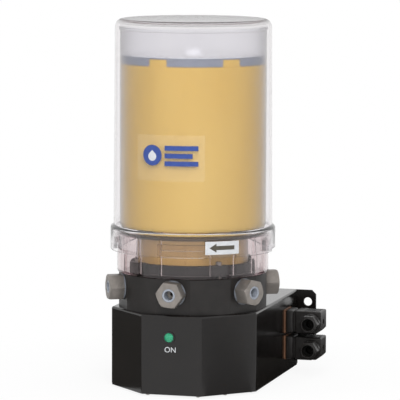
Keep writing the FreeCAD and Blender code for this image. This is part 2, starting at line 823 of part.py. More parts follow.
def seat_ring():
    """Clear ring on the body: floor under the clamps, ribbed wall, shelf for the cartridge's
    shoulder, and outside it the bayonet lugs with their stops."""
    c, wall_r = rim_round, ring_r - ring_wall
    floor_top = body_top + ring_floor
    shape = turned([(ring_floor_inner_r, body_top), (ring_r - c, body_top),
                    (ring_r, body_top + c, ring_r - 0.3 * c, body_top + 0.3 * c), (ring_r, ring_top),
                    (ring_shelf_inner_r, ring_top), (ring_shelf_inner_r, shelf_foot), (wall_r, shelf_foot),
                    (wall_r, floor_top), (ring_floor_inner_r, floor_top)])
    rib_r = collar_r + clamp_depth + clamp_rib_gap
    rib = block(-ring_rib / 2, ring_rib / 2, -wall_r - 1, -rib_r, floor_top - 0.5, shelf_foot + 0.5)
    pieces = [outward(rib, (k + 0.5) * 360.0 / ring_rib_count) for k in range(ring_rib_count)]
    pieces += lugs(ring_r - 1, ring_r + lug_reach, ring_lug_foot, ring_lug_foot + lug_height)
    stop_middle = lug_centre - lug_angle / 2 - stop_play_angle - stop_angle / 2
    pieces += [sector(ring_r - 1, ring_r + lug_reach, cover_lug_foot, ring_lug_foot + lug_height,
                      stop_middle + k * 360.0 / lug_count, stop_angle) for k in range(lug_count)]
    shape = joined([shape] + pieces)
    return shape.cut([disc(clamp_screw_d / 2 + screw_clearance, body_top - 1, floor_top + 1, x, y)
                      for x, y in clamp_screw_places()])


def clamp_azimuths():
    return [clamp_angle, 180.0 - clamp_angle, 180.0 + clamp_angle, -clamp_angle]


def clamp_screw_places():
    return [on_circle(collar_r + clamp_clearance + clamp_depth / 2, a) for a in clamp_azimuths()]


def ring_clamps():
    """Clamp blocks that hold the seat ring's floor down on the body, close to the collar."""
    z0 = body_top + ring_floor
    clamps = []
    for azimuth, place in zip(clamp_azimuths(), clamp_screw_places()):
        clamp = sector(collar_r + clamp_clearance, collar_r + clamp_depth, z0, z0 + clamp_height,
                       azimuth, clamp_width)
        hole = disc(clamp_screw_d / 2 + screw_clearance, z0 - 1, z0 + clamp_height + 1, *place)
        clamps.append(clamp.cut(hole))
    return group(clamps)


def ring_clamp_screws():
    seat = body_top + ring_floor + clamp_height
    return group([cap_screw(clamp_screw_d, clamp_screw_length, V(x, y, seat), down=True)
                  for x, y in clamp_screw_places()])


def reservoir_cover():
    """Clear cover: a drawn cup with a rounded top, over a wider skirt with the bayonet lugs inside."""
    c, h, w = cover_corner, cover_top, cover_wall
    bend, inner_c = 1 - sqrt(0.5), cover_corner - cover_wall
    shoulder = skirt_top - 2 * w / 3
    cup = turned([(0, h), (cover_top_r - c, h),
                  (cover_top_r, h - c, cover_top_r - c * bend, h - c * bend),
                  (cover_foot_r, skirt_top + w / 2), (skirt_r - w / 2, skirt_top), (skirt_r, shoulder),
                  (skirt_r, skirt_foot + skirt_bead), (skirt_r - skirt_bead, skirt_foot),
                  (skirt_r - skirt_wall, skirt_foot), (skirt_r - skirt_wall, shoulder - w / 3),
                  (cover_foot_r - w, shoulder - w / 3), (cover_top_r - w, h - c),
                  (cover_top_r - c, h - w, cover_top_r - w - inner_c * bend, h - w - inner_c * bend),
                  (0, h - w)])
    inner_lugs = lugs(ring_r + lug_wall_gap, skirt_r - skirt_wall + 0.5, cover_lug_foot, cover_lug_top)
    notch = sector(skirt_r - skirt_wall, skirt_r + 1, skirt_foot - 1, skirt_foot + skirt_notch_height,
                   skirt_notch_angle, skirt_notch_width)
    return joined([cup] + inner_lugs).cut(notch)


def cartridge_shell():
    """Thin moulded cartridge: neck, shoulder with a rounded edge, straight barrel and a rolled rim."""
    w, r, bend = cartridge_wall, shoulder_round, 1 - sqrt(0.5)
    inner = r - w
    return turned([(neck_bore_r, neck_foot), (neck_r, neck_foot), (neck_r, ring_top),
                   (cartridge_r - r, ring_top),
                   (cartridge_r, barrel_foot, cartridge_r - r * bend, ring_top + r * bend),
                   (cartridge_r, cartridge_top - 3 * cartridge_rim),
                   (cartridge_r + cartridge_rim, cartridge_top - 2 * cartridge_rim),
                   (cartridge_r + cartridge_rim, cartridge_top), (bore_r, cartridge_top),
                   (bore_r, barrel_foot),
                   (cartridge_r - r, ring_top + w, bore_r - inner * bend, ring_top + w + inner * bend),
                   (neck_bore_r, ring_top + w)])


def cartridge_neck_seal():
    """O-ring between the cartridge's neck and the collar."""
    section = (bowl_r - neck_r) / 2 - film
    return Part.makeTorus((bowl_r + neck_r) / 2, section, V(0, 0, collar_top - neck_seal_drop), UP)


def grease_in_neck():
    """Grease below the barrel, which stays when the follower is down."""
    r, inner, bend = neck_bore_r - film, shoulder_round - cartridge_wall - film, 1 - sqrt(0.5)
    ledge = ring_top + cartridge_wall + film
    return turned([(0, neck_grease_foot), (r, neck_grease_foot), (r, ledge),
                   (cartridge_r - shoulder_round, ledge),
                   (bore_r - film, barrel_foot, bore_r - film - inner * bend, ledge + inner * bend),
                   (0, barrel_foot)])


def grease_fill():
    return disc(bore_r - film, barrel_foot, follower_foot - follower_clearance)


def follower_plate():
    """Follower: web and centre boss inside a deep wiping skirt with notches in its foot."""
    r, z0, z1 = bore_r - follower_clearance, follower_foot, follower_foot + follower_height
    web_foot = follower_foot + notch_depth
    web_top = web_foot + follower_web
    plate = turned([(0, web_foot), (r - follower_skirt, web_foot), (r - follower_skirt, z0), (r, z0), (r, z1),
                    (r - follower_skirt, z1), (r - follower_skirt, web_top), (follower_boss_r, web_top),
                    (follower_boss_r, web_top + follower_boss), (0, web_top + follower_boss)])
    notch = block(-notch_width / 2, notch_width / 2, -r - 1, follower_skirt + 0.5 - r, z0 - 1, web_foot)
    return plate.cut([outward(notch, notch_start + k * 360.0 / notch_count) for k in range(notch_count)])


def square_bar(x0, x1, width, height, z, corner):
    """Bar along X with rounded long edges, centred on the connectors' plane."""
    bar = block(x0, x1, connector_y - width / 2, connector_y + width / 2, z - height / 2, z + height / 2)
    return bar.makeFillet(corner, [e for e in bar.Edges if e.BoundBox.XLength > 0.5 * (x1 - x0)])


def side_rod(r, x0, x1, z):
    return Part.makeCylinder(r, x1 - x0, V(x0, connector_y, z), RIGHT)


def connector_gasket(z):
    gasket = square_bar(half_box, base_face, gasket_size, gasket_size, z, plug_round)
    return gasket.cut(side_rod(cable_hole_d / 2, half_box - 1, base_face + 1, z))


def connector_base(z):
    """Base with its contact pillar, held by the end screw."""
    base = square_bar(base_face, plug_start, base_size, base_size, z, plug_round)
    wire_way = side_rod(cable_hole_d / 2, base_face - 1, base_face + base_reach / 2, z)
    screw_way = side_rod(end_screw_d / 2 + screw_clearance, base_face, plug_start + 1, z)
    return base.cut([wire_way, screw_way])


def connector_plug(z):
    """Plug housing: waisted at its seal, ribbed on top, bevelled below its end, with the gland's neck."""
    x0, x1 = plug_start, plug_end
    waist = square_bar(x0, x0 + groove + 1, plug_width - 2 * groove_depth, plug_height - 2 * groove_depth, z,
                       plug_round)
    housing = square_bar(x0 + groove, x1, plug_width, plug_height, z, plug_round)
    low, side = z - plug_height / 2, connector_y - plug_width
    corner = [V(x1 - plug_bevel, side, low), V(x1, side, low + plug_bevel), V(x1 + 1, side, low - 1)]
    bevel = Part.Face(Part.makePolygon(corner + corner[:1])).extrude(V(0, 2 * plug_width, 0))
    neck = Part.makeCylinder(gland_neck_r, gland_neck + 1, V(gland_x, gland_face + 1, z), FRONT)
    top, half_rib = z + plug_height / 2, plug_width / 2 - plug_round
    pitch = rib_zone / rib_count
    groove_block = block(-0.5 * pitch, 0, connector_y - half_rib, connector_y + half_rib,
                         top - rib_height, top + 1)
    grooves = [groove_block.translated(V(x1 - rib_end - k * pitch, 0, 0)) for k in range(rib_count)]
    bore = Part.makeCylinder(nut_bore_r, gland_neck + gland_bore_depth + 1,
                             V(gland_x, gland_face + gland_bore_depth, z), FRONT)
    recess = side_rod(end_screw_head_d / 2 + screw_clearance, x1 - end_screw_recess, x1 + 1, z)
    screw_way = side_rod(end_screw_d / 2 + screw_clearance, x0 - 1, x1, z)
    return joined([waist, housing.cut(bevel), neck]).cut(grooves + [bore, recess, screw_way])


def ring_along_front(r_in, r_out, y, length, x=0.0, z=lamp_rise):
    outer = Part.makeCylinder(r_out, length, V(x, y, z), FRONT)
    return outer.cut(Part.makeCylinder(r_in, length + 2, V(x, y + 1, z), FRONT))


def gland_nut(z):
    """Hexagon gland nut with a round lip at its mouth."""
    nut = front_hexagon(nut_across_flats, nut_length, V(gland_x, nut_base, z))
    lip = Part.makeCylinder(nut_lip_r, nut_lip + 1, V(gland_x, nut_base - nut_length + 1, z), FRONT)
    bore = Part.makeCylinder(nut_bore_r, nut_length + nut_lip + 2, V(gland_x, nut_base + 1, z), FRONT)
    return joined([nut, lip]).cut(bore)


def gland_seals():
    """Rubber rings that grip the cables inside the glands."""
    return group([ring_along_front(seal_bore_r, nut_bore_r - gland_clearance, gland_face - seal_setback,
                                   seal_length, gland_x, z) for z in connector_rises.values()])


def connector_screws():
    """Slotted end screws that hold each plug to its base."""
    screws = []
    for z in connector_rises.values():
        seat = plug_end - end_screw_recess
        head = side_rod(end_screw_head_d / 2, seat, seat + 0.7 * end_screw_recess, z)
        shank = side_rod(end_screw_d / 2, base_face + base_reach / 2, seat + 1, z)
        slot = block(seat + 0.4 * end_screw_recess, plug_end, connector_y - end_screw_head_d,
                     connector_y + end_screw_head_d, z - 0.4, z + 0.4)
        screws.append(joined([head, shank]).cut(slot))
    return group(screws)


def all_parts():
    makers = [box_shell, bottom_cover, bottom_cover_screws, pump_body, pump_body_screws, outlet_bushes,
              outlet_washers, plunger_springs, lower_bearing, upper_bearing, bearing_bridge, drive_shaft,
              stirrer_paddle, drive_gear, motor_pinion, gear_motor, motor_bracket, motor_screws,
              circuit_board, board_standoffs, lamp_bezel, lamp_lens, lamp_nut, seat_ring, ring_clamps,
              ring_clamp_screws, reservoir_cover, cartridge_shell, cartridge_neck_seal, grease_in_neck,
              grease_fill, follower_plate, connector_screws, gland_seals]
    parts = {maker.__name__: maker() for maker in makers}
    for k in range(outlet_count):
        parts[f"outlet_fitting_{k + 1}"] = outlet_fitting(k)
        parts[f"pump_barrel_{k + 1}"] = pump_barrel(k)
        parts[f"plunger_{k + 1}"] = plunger(k)
    for side, z in connector_rises.items():
        parts[f"connector_gasket_{side}"] = connector_gasket(z)
        parts[f"connector_base_{side}"] = connector_base(z)
        parts[f"connector_plug_{side}"] = connector_plug(z)
        parts[f"gland_nut_{side}"] = gland_nut(z)
    return parts


os.makedirs("parts", exist_ok=True)
for name, shape in all_parts().items():
    shape.translate(V(0, -axis_to_wall, -origin_rise))
    shape.exportStep(f"parts/{name}.step")
    box = shape.BoundBox
    print(f"{name:24s} solids {len(shape.Solids):2d} valid {shape.isValid()} cm3 {shape.Volume / 1000:9.2f}",
          f"x {box.XMin:7.1f} {box.XMax:7.1f} y {box.YMin:7.1f} {box.YMax:7.1f}",
          f"z {box.ZMin:7.1f} {box.ZMax:7.1f}")
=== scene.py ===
"""Looks of the cartridge lubrication pump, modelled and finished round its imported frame.

Sizes are in millimetres round the pump's own axis, with z = 0 at the housing's underside, and
mm() turns them into the frame's metres. The front faces -Y and the connectors stand on +X.
"""

import bpy
import json
from math import cos, pi, radians, sin, sqrt
from mathutils import Matrix, Quaternion, Vector

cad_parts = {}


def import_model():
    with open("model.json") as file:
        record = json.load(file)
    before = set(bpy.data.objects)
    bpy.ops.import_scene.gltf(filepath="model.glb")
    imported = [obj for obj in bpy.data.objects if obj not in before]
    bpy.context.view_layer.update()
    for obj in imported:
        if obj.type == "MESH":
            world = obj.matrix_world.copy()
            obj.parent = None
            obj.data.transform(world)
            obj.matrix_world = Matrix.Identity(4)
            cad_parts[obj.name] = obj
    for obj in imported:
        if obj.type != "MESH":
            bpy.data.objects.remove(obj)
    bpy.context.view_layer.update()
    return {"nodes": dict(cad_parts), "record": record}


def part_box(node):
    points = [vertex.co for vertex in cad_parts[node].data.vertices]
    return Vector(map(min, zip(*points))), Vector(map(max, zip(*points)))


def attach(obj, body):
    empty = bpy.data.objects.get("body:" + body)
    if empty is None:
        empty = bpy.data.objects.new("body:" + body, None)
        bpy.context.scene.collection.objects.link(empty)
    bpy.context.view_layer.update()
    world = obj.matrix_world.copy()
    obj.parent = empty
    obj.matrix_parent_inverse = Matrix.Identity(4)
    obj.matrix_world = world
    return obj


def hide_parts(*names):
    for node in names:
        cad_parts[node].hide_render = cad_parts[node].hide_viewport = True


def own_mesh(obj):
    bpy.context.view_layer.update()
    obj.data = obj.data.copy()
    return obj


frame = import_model()

# Places in the frame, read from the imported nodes
shell_low, shell_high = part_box("reservoir_cover")
axis_y = (shell_low.y + shell_high.y) / 2
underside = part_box("bottom_cover")[0].z
floor_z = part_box("bottom_cover_screws")[0].z

# Ways a turned piece can point: along its axis, and out from it
axes = {
    "up": (Vector((0, 0, 1)), Vector((0, -1, 0))),
    "front": (Vector((0, -1, 0)), Vector((1, 0, 0))),
    "right": (Vector((1, 0, 0)), Vector((0, -1, 0))),
}

# Clear cover
cover_top = 416.0
cover_wall = 3.0
cup_top_r = 88.7
cup_foot_r = 90.2
cup_round = 9.0
skirt_r = 93.6
skirt_top = 182.0
skirt_foot = 155.0
notch_azimuth = 104.0
notch_angle = 30.0

# Bayonet: lugs of the cover under lugs of the ring, and the ring's stops
lug_centres = [10.0 + 90.0 * k for k in range(4)]
lug_angle = 34.0
lug_height = 6.0
lug_bite = 0.6
cover_lug_r = 86.7
cover_lug_foot = 156.5
ring_lug_r = 89.9
ring_lug_foot = 163.0
stop_angle = 3.0
stop_shift = 18.9

# Seat ring
ring_r = 86.0
ring_wall = 4.0
ring_foot = 130.0
ring_floor = 133.0
ring_top = 176.0
ring_bore_r = 71.0
shelf_bore_r = 66.0
shelf_foot = 172.5
rib_count = 18
rib_width = 1.6
rib_depth = 2.5

# Cartridge and its grease
film_wall = 1.5
neck_r = 63.0
neck_foot = 136.0
barrel_r = 82.8
barrel_foot = 186.0
heel_round = 10.0
cartridge_rim_r = 84.0
cartridge_top = 407.0
grease_gap = 0.1
grease_top = 365.9
neck_grease_foot = 142.5
follower_pocket_r = 80.6
follower_pocket = (366.0, 374.1)
follower_rim_r = 79.0

# Outlets
outlet_z = 113.6
outlet_foot = (0, -70.7, outlet_z)
outlet_step = 60.0
fitting_clocks = (-5.5, -14.0, -3.0, 8.0, 0.0, 0.0)
fitting_width = 27.0
fitting_length = 28.3
fitting_chamfer = 2.6
stem_r = 8.0
stem_length = 12.0
duct_r = 2.0
mouth_r = 7.5
mouth_foot = 14.3
bush_r = 7.45
bush_bore_r = 5.2
bush_lip = 0.6

# Connectors
connector_levels = (("upper", 60.8), ("lower", 30.3))
connector_y = 104.5
connector_foot = 86.6
base_half = 13.4
plug_foot = 95.6
plug_seal = 1.6
plug_waist = 1.2
plug_end = 128.6
plug_half = 13.5
plug_half_height = 13.2
plug_cut = 5.5
plug_round = 2.0
grip_slots = 7
grip_length = 18.0
grip_depth = 0.7
gland_x = 117.6
gland_neck_r = 10.6
gland_neck = 7.0
gland_bore_r = 7.1
nut_width = 19.0
nut_length = 12.4
screw_bore_r = 1.7
wire_bore_r = 8.0

# Front of the housing and the prints
lamp_foot = (-2.2, -88.0, 65.0)
lens_r = 5.15
caption_place = (-0.9, -88.06, 48.4)
caption_height = 8.6
print_y = -120.0
badge_x = -22.5
badge_z = 268.5
badge_r = 11.5


def mm(x, y, z):
    """Point of the frame, in metres, for a point round the pump's axis in millimetres."""
    return Vector((x / 1000, y / 1000 + axis_y, z / 1000 + underside))


def srgb(r, g, b):
    """Linear colour for one written as 0 to 255."""
    return tuple(((v / 255 + 0.055) / 1.055) ** 2.4 if v > 10 else v / 3294 for v in (r, g, b)) + (1.0,)


# Modelling, by the same operators as by hand

def pick(obj):
    """Selects one object alone."""
    bpy.ops.object.select_all(action="DESELECT")
    obj.hide_set(False)
    obj.select_set(True)
    bpy.context.view_layer.objects.active = obj


def edit(obj, select="SELECT"):
    """Opens a piece by its vertices, with all or none of them selected."""
    pick(obj)
    bpy.ops.object.mode_set(mode="EDIT")
    bpy.ops.mesh.select_mode(type="VERT")
    bpy.ops.mesh.select_all(action=select)


def leave():
    bpy.ops.object.mode_set(mode="OBJECT")


def settle(obj):
    """Puts an object's place into its mesh."""
    pick(obj)
    bpy.ops.object.transform_apply(location=True, rotation=True, scale=True)


def named(name):
    obj = bpy.context.active_object
    obj.name = name
    obj.data.name = name
    return obj


def finish_mesh(obj, merge=0.00001):
    edit(obj)
    bpy.ops.mesh.remove_doubles(threshold=merge)
    bpy.ops.mesh.normals_make_consistent(inside=False)
    leave()


def smooth(obj, angle=30.0):
    pick(obj)
    bpy.ops.object.shade_smooth_by_angle(angle=radians(angle))


def bevel(obj, width, segments=2, angle=30.0):
    """Rounds the sharp edges of a piece, by a modifier that is applied."""
    pick(obj)
    mod = obj.modifiers.new("edges", "BEVEL")
    mod.width, mod.segments, mod.angle_limit = width / 1000, segments, radians(angle)
    mod.limit_method, mod.harden_normals = "ANGLE", False
    bpy.ops.object.modifier_apply(modifier=mod.name)


def combine(obj, other, how):
    """Joins, cuts or intersects a piece with another, which is used up."""
    pick(obj)
    mod = obj.modifiers.new("combine", "BOOLEAN")
    mod.operation, mod.object, mod.solver = how, other, "EXACT"
    bpy.ops.object.modifier_apply(modifier=mod.name)
    bpy.data.objects.remove(other, do_unlink=True)
    return obj


def draw(name, points):
    """Line through points of the frame, drawn by extruding a single point from each to the next."""
    bpy.ops.mesh.primitive_plane_add(size=0.001, location=points[0])
    line = named(name)
    settle(line)
    edit(line)
    bpy.ops.mesh.merge(type="CENTER")
    for here, there in zip(points, points[1:]):
        bpy.ops.mesh.extrude_region_move(TRANSFORM_OT_translate={"value": there - here})
    leave()
    return line


def profile(outline, foot, axis):
    """Points of the frame for (radius, height) about an axis through a foot."""
    along, across = axes[axis]
    return [mm(*foot) + (along * h + across * r) / 1000 for r, h in outline]


def lathe(name, outline, steps=192, foot=(0, 0, 0), axis="up"):
    """Turned piece. An outline that keeps off the axis closes on its first point."""
    if outline[0][0] > 0 or outline[-1][0] > 0:
        outline = outline + outline[:1]
    piece = draw(name, profile(outline, foot, axis))
    edit(piece)
    bpy.ops.mesh.spin(steps=steps, angle=2 * pi, center=mm(*foot), axis=axes[axis][0])
    leave()
    finish_mesh(piece)
    return piece


def sector(name, corners, middle, width, steps=24):
    """Piece of a ring: an outline of (radius, height) swept through an angle about the pump's axis."""
    piece = draw(name, profile(corners + corners[:1], (0, 0, 0), "up"))
    edit(piece)
    bpy.ops.mesh.remove_doubles(threshold=0.00001)
    bpy.ops.mesh.select_all(action="SELECT")
    bpy.ops.mesh.spin(steps=steps, angle=-radians(width), center=mm(0, 0, 0), axis=(0, 0, 1))
    bpy.ops.mesh.select_all(action="SELECT")
    bpy.ops.mesh.fill_holes(sides=0)
    leave()
    finish_mesh(piece)
    return placed(piece, about_axis(middle - width / 2))


def about_axis(azimuth):
    """Turn of a piece drawn at the front round the pump's axis to its azimuth."""
    centre = mm(0, 0, 0)
    turn = Matrix.Rotation(radians(azimuth), 4, "Z")
    return Matrix.Translation(centre) @ turn @ Matrix.Translation(-centre)


def placed(obj, matrix):
    """Moves a piece and puts its new place into its mesh."""
    obj.matrix_world = matrix @ obj.matrix_world
    settle(obj)
    return obj


def copied(obj, name, matrix):
    """Copy with a mesh of its own, moved to its place."""
    pick(obj)
    bpy.ops.object.duplicate(linked=False)
    return placed(named(name), matrix)


def joined(name, pieces):
    """One object of several pieces."""
    pick(pieces[0])
    for piece in pieces[1:]:
        piece.select_set(True)
    bpy.ops.object.join()
    return named(name)


def hexagon(name, across_flats, length, foot, axis="front", clock=0.0):
    """Hexagonal bar from a foot along an axis, with two level flats when its clock is 0."""
    radius, depth = across_flats / sqrt(3) / 1000, length / 1000
    bpy.ops.mesh.primitive_cylinder_add(vertices=6, radius=radius, depth=depth, location=(0, 0, depth / 2),
                                        rotation=(0, 0, radians(30 + clock)))
    rod = named(name)
    settle(rod)
    lean = Vector((0, 0, 1)).rotation_difference(axes[axis][0])
    return placed(rod, Matrix.Translation(mm(*foot)) @ lean.to_matrix().to_4x4())


def bar(name, low, high):
    """Square bar between two corners, the start of the moulded housings."""
    size = [(b - a) / 1000 for a, b in zip(low, high)]
    middle = [(a + b) / 2 for a, b in zip(low, high)]
    bpy.ops.mesh.primitive_cube_add(size=1.0, location=mm(*middle), scale=size)
    piece = named(name)
    settle(piece)
    return piece


def edit_edges(obj, wanted):
    """Opens a piece with the edges selected whose middle and direction are wanted."""
    edit(obj, "DESELECT")
    leave()
    vertices = obj.data.vertices
    for edge in obj.data.edges:
        a, b = (vertices[i].co for i in edge.vertices)
        edge.select = wanted((a + b) / 2, (b - a).normalized())
    bpy.ops.object.mode_set(mode="EDIT")
    bpy.ops.mesh.select_mode(type="EDGE")


def edit_faces(obj, wanted):
    """Opens a piece with the faces selected whose centre and normal are wanted."""
    edit(obj, "DESELECT")
    leave()
    for face in obj.data.polygons:
        face.select = wanted(face.center, face.normal)
    bpy.ops.object.mode_set(mode="EDIT")
    bpy.ops.mesh.select_mode(type="FACE")


def arc(cx, cz, r, start, end, steps):
    """Points of a round stretch of an outline, its angles in degrees from the +r direction."""
    return [(cx + r * cos(radians(start + (end - start) * k / steps)),
             cz + r * sin(radians(start + (end - start) * k / steps))) for k in range(steps + 1)]


# Finishes

def material(name):
    mat = bpy.data.materials.new(name)
    mat.use_nodes = True
    nodes = mat.node_tree.nodes
    return mat, nodes, mat.node_tree.links, nodes["Principled BSDF"]


def pattern(nodes, links, scale, detail=3.0, stretch=(1, 1, 1), kind="ShaderNodeTexNoise"):
    """Noise in the piece's own coordinates; scale is in features per metre."""
    place = nodes.new("ShaderNodeTexCoord")
    mapping = nodes.new("ShaderNodeMapping")
    mapping.inputs["Scale"].default_value = stretch
    noise = nodes.new(kind)
    noise.inputs["Scale"].default_value = scale
    if "Detail" in noise.inputs:
        noise.inputs["Detail"].default_value = detail
    links.new(place.outputs["Object"], mapping.inputs["Vector"])
    links.new(mapping.outputs["Vector"], noise.inputs["Vector"])
    return noise


def spread(nodes, links, value, low, high):
    """Maps a pattern's middle range on to two values."""
    ramp = nodes.new("ShaderNodeMapRange")
    ramp.inputs["From Min"].default_value, ramp.inputs["From Max"].default_value = 0.3, 0.7
    ramp.inputs["To Min"].default_value, ramp.inputs["To Max"].default_value = low, high
    links.new(value, ramp.inputs["Value"])
    return ramp.outputs["Result"]


def blend_colours(nodes, links, value, first, second):
    mix = nodes.new("ShaderNodeMix")
    mix.data_type = "RGBA"
    mix.inputs["A"].default_value, mix.inputs["B"].default_value = first, second
    links.new(value, mix.inputs["Factor"])
    return mix.outputs["Result"]


def relief(nodes, links, value, shader, strength, depth):
    bump = nodes.new("ShaderNodeBump")
    bump.inputs["Strength"].default_value = strength
    bump.inputs["Distance"].default_value = depth / 1000
    links.new(value, bump.inputs["Height"])
    links.new(bump.outputs["Normal"], shader.inputs["Normal"])


def line_distance(nodes, links, x, y):
    """How far a point of the surface is from an upright line, in metres."""
    place = nodes.new("ShaderNodeTexCoord")
    level = nodes.new("ShaderNodeVectorMath")
    level.operation = "MULTIPLY"
    level.inputs[1].default_value = (1, 1, 0)
    links.new(place.outputs["Object"], level.inputs[0])
    gap = nodes.new("ShaderNodeVectorMath")
    gap.operation = "DISTANCE"
    gap.inputs[1].default_value = mm(x, y, 0).xy.to_3d()
    links.new(level.outputs["Vector"], gap.inputs[0])
    return gap.outputs["Value"]


def near(nodes, links, value, target, reach):
    """1 where a value is within reach of the target, else 0."""
    check = nodes.new("ShaderNodeMath")
    check.operation = "COMPARE"
    check.inputs[1].default_value, check.inputs[2].default_value = target, reach
    links.new(value, check.inputs[0])
    return check.outputs["Value"]


def combined(nodes, links, first, second, how):
    both = nodes.new("ShaderNodeMath")
    both.operation = how
    links.new(first, both.inputs[0])
    links.new(second, both.inputs[1])
    return both.outputs["Value"]


def finish(name, first, second, rough=(0.4, 0.5), scale=60.0, grain=900.0, strength=0.1, depth=0.05,
           metallic=0.0, stretch=(1, 1, 1), **sockets):
    """A surface whose colour and roughness drift over it, with a fine grain in relief."""
    mat, nodes, links, shader = material(name)
    drift = pattern(nodes, links, scale, 4.0, stretch)
    fine = pattern(nodes, links, grain, 2.0, stretch)
    shade = spread(nodes, links, drift.outputs["Fac"], 0.0, 1.0)
    links.new(blend_colours(nodes, links, shade, first, second), shader.inputs["Base Color"])
    links.new(spread(nodes, links, fine.outputs["Fac"], *rough), shader.inputs["Roughness"])
    relief(nodes, links, fine.outputs["Fac"], shader, strength, depth)
    shader.inputs["Metallic"].default_value = metallic
    for socket, value in sockets.items():
        shader.inputs[socket.replace("_", " ")].default_value = value
    return mat


def gloss_paint():
    return finish("gloss_paint", srgb(12, 10, 9), srgb(17, 14, 13), (0.16, 0.2), scale=25.0, grain=500.0,
                  strength=0.02, depth=0.01, Specular_IOR_Level=0.45)


def cast_coating():
    return finish("cast_coating", srgb(20, 18, 17), srgb(28, 25, 24), (0.4, 0.55), scale=90.0, grain=1600.0,
                  strength=0.2, depth=0.06, Specular_IOR_Level=0.4)


def plated_metal():
    return finish("plated_metal", srgb(122, 117, 112), srgb(138, 132, 127), (0.38, 0.5), scale=120.0,
                  grain=2500.0, strength=0.12, depth=0.03, metallic=0.6)


def zinc():
    return finish("zinc", srgb(134, 131, 127), srgb(152, 149, 145), (0.25, 0.4), scale=150.0, grain=2500.0,
                  strength=0.08, depth=0.02, metallic=1.0)


def bush_nylon():
    return finish("bush_nylon", srgb(122, 127, 136), srgb(134, 139, 148), (0.3, 0.4), scale=200.0,
                  grain=1500.0, strength=0.06, depth=0.02)


# The bushes' nylon made darker: painted shade, for washers that sit in the hexagons' shadow.
def washer_nylon_painted_shade():
    return finish("washer_nylon_painted_shade", srgb(94, 98, 105), srgb(104, 108, 115), (0.3, 0.4), scale=200.0,
                  grain=1500.0, strength=0.06, depth=0.02)


def ground_steel():
    return finish("ground_steel", srgb(150, 150, 150), srgb(175, 175, 175), (0.25, 0.4), scale=60.0,
                  grain=1800.0, strength=0.05, depth=0.02, metallic=1.0, stretch=(1, 1, 6))


def bronze():
    return finish("bronze", srgb(176, 130, 78), srgb(196, 150, 96), (0.35, 0.5), scale=120.0, grain=1800.0,
                  strength=0.08, depth=0.02, metallic=1.0)


def machined():
    return finish("machined", srgb(170, 170, 172), srgb(190, 190, 192), (0.3, 0.45), scale=60.0,
                  grain=1500.0, strength=0.05, depth=0.02, metallic=0.9)


def board_mask():
    return finish("board_mask", srgb(24, 92, 52), srgb(30, 110, 62), (0.3, 0.4), scale=300.0, grain=900.0,
                  strength=0.1, depth=0.03)


def black_nylon():
    return finish("black_nylon", srgb(18, 16, 15), srgb(26, 24, 23), (0.34, 0.46), scale=160.0,
                  grain=2200.0, strength=0.2, depth=0.04)


def smooth_black():
    return finish("smooth_black", srgb(20, 19, 19), srgb(26, 25, 25), (0.3, 0.4), scale=120.0, grain=1600.0,
                  strength=0.08, depth=0.03)


def brown_silicone():
    return finish("brown_silicone", srgb(84, 58, 42), srgb(96, 68, 50), (0.5, 0.62), scale=200.0,
                  grain=1200.0, strength=0.15, depth=0.04)


def black_rubber():
    return finish("black_rubber", srgb(8, 8, 8), srgb(12, 12, 11), (0.7, 0.85), scale=200.0, grain=1800.0,
                  strength=0.2, depth=0.04, Specular_IOR_Level=0.15)


def follower_plastic():
    """Pale disc with a grey-blue rim."""
    mat, nodes, links, shader = material("follower_plastic")
    rim = nodes.new("ShaderNodeMapRange")
    rim.inputs["From Min"].default_value = (follower_rim_r - 0.2) / 1000
    rim.inputs["From Max"].default_value = (follower_rim_r + 0.2) / 1000
    links.new(line_distance(nodes, links, 0, 0), rim.inputs["Value"])
    grain = pattern(nodes, links, 90.0, 3.0)
    tone = spread(nodes, links, grain.outputs["Fac"], 0.0, 1.0)
    grey = blend_colours(nodes, links, tone, srgb(146, 152, 164), srgb(158, 164, 175))
    pale = blend_colours(nodes, links, tone, srgb(226, 227, 229), srgb(234, 235, 237))
    both = nodes.new("ShaderNodeMix")
    both.data_type = "RGBA"
    links.new(rim.outputs["Result"], both.inputs["Factor"])
    links.new(pale, both.inputs["A"])
    links.new(grey, both.inputs["B"])
    links.new(both.outputs["Result"], shader.inputs["Base Color"])
    links.new(spread(nodes, links, grain.outputs["Fac"], 0.5, 0.6), shader.inputs["Roughness"])
    return mat


def pass_lamps(nodes, links, shader, tint):
    """Lets the lamps shine through a clear wall without bending."""
    path = nodes.new("ShaderNodeLightPath")
    through = nodes.new("ShaderNodeBsdfTransparent")
    through.inputs["Color"].default_value = tint
    mix = nodes.new("ShaderNodeMixShader")
    links.new(path.outputs["Is Shadow Ray"], mix.inputs["Fac"])
    links.new(shader.outputs["BSDF"], mix.inputs[1])
    links.new(through.outputs["BSDF"], mix.inputs[2])
    links.new(mix.outputs["Shader"], nodes["Material Output"].inputs["Surface"])


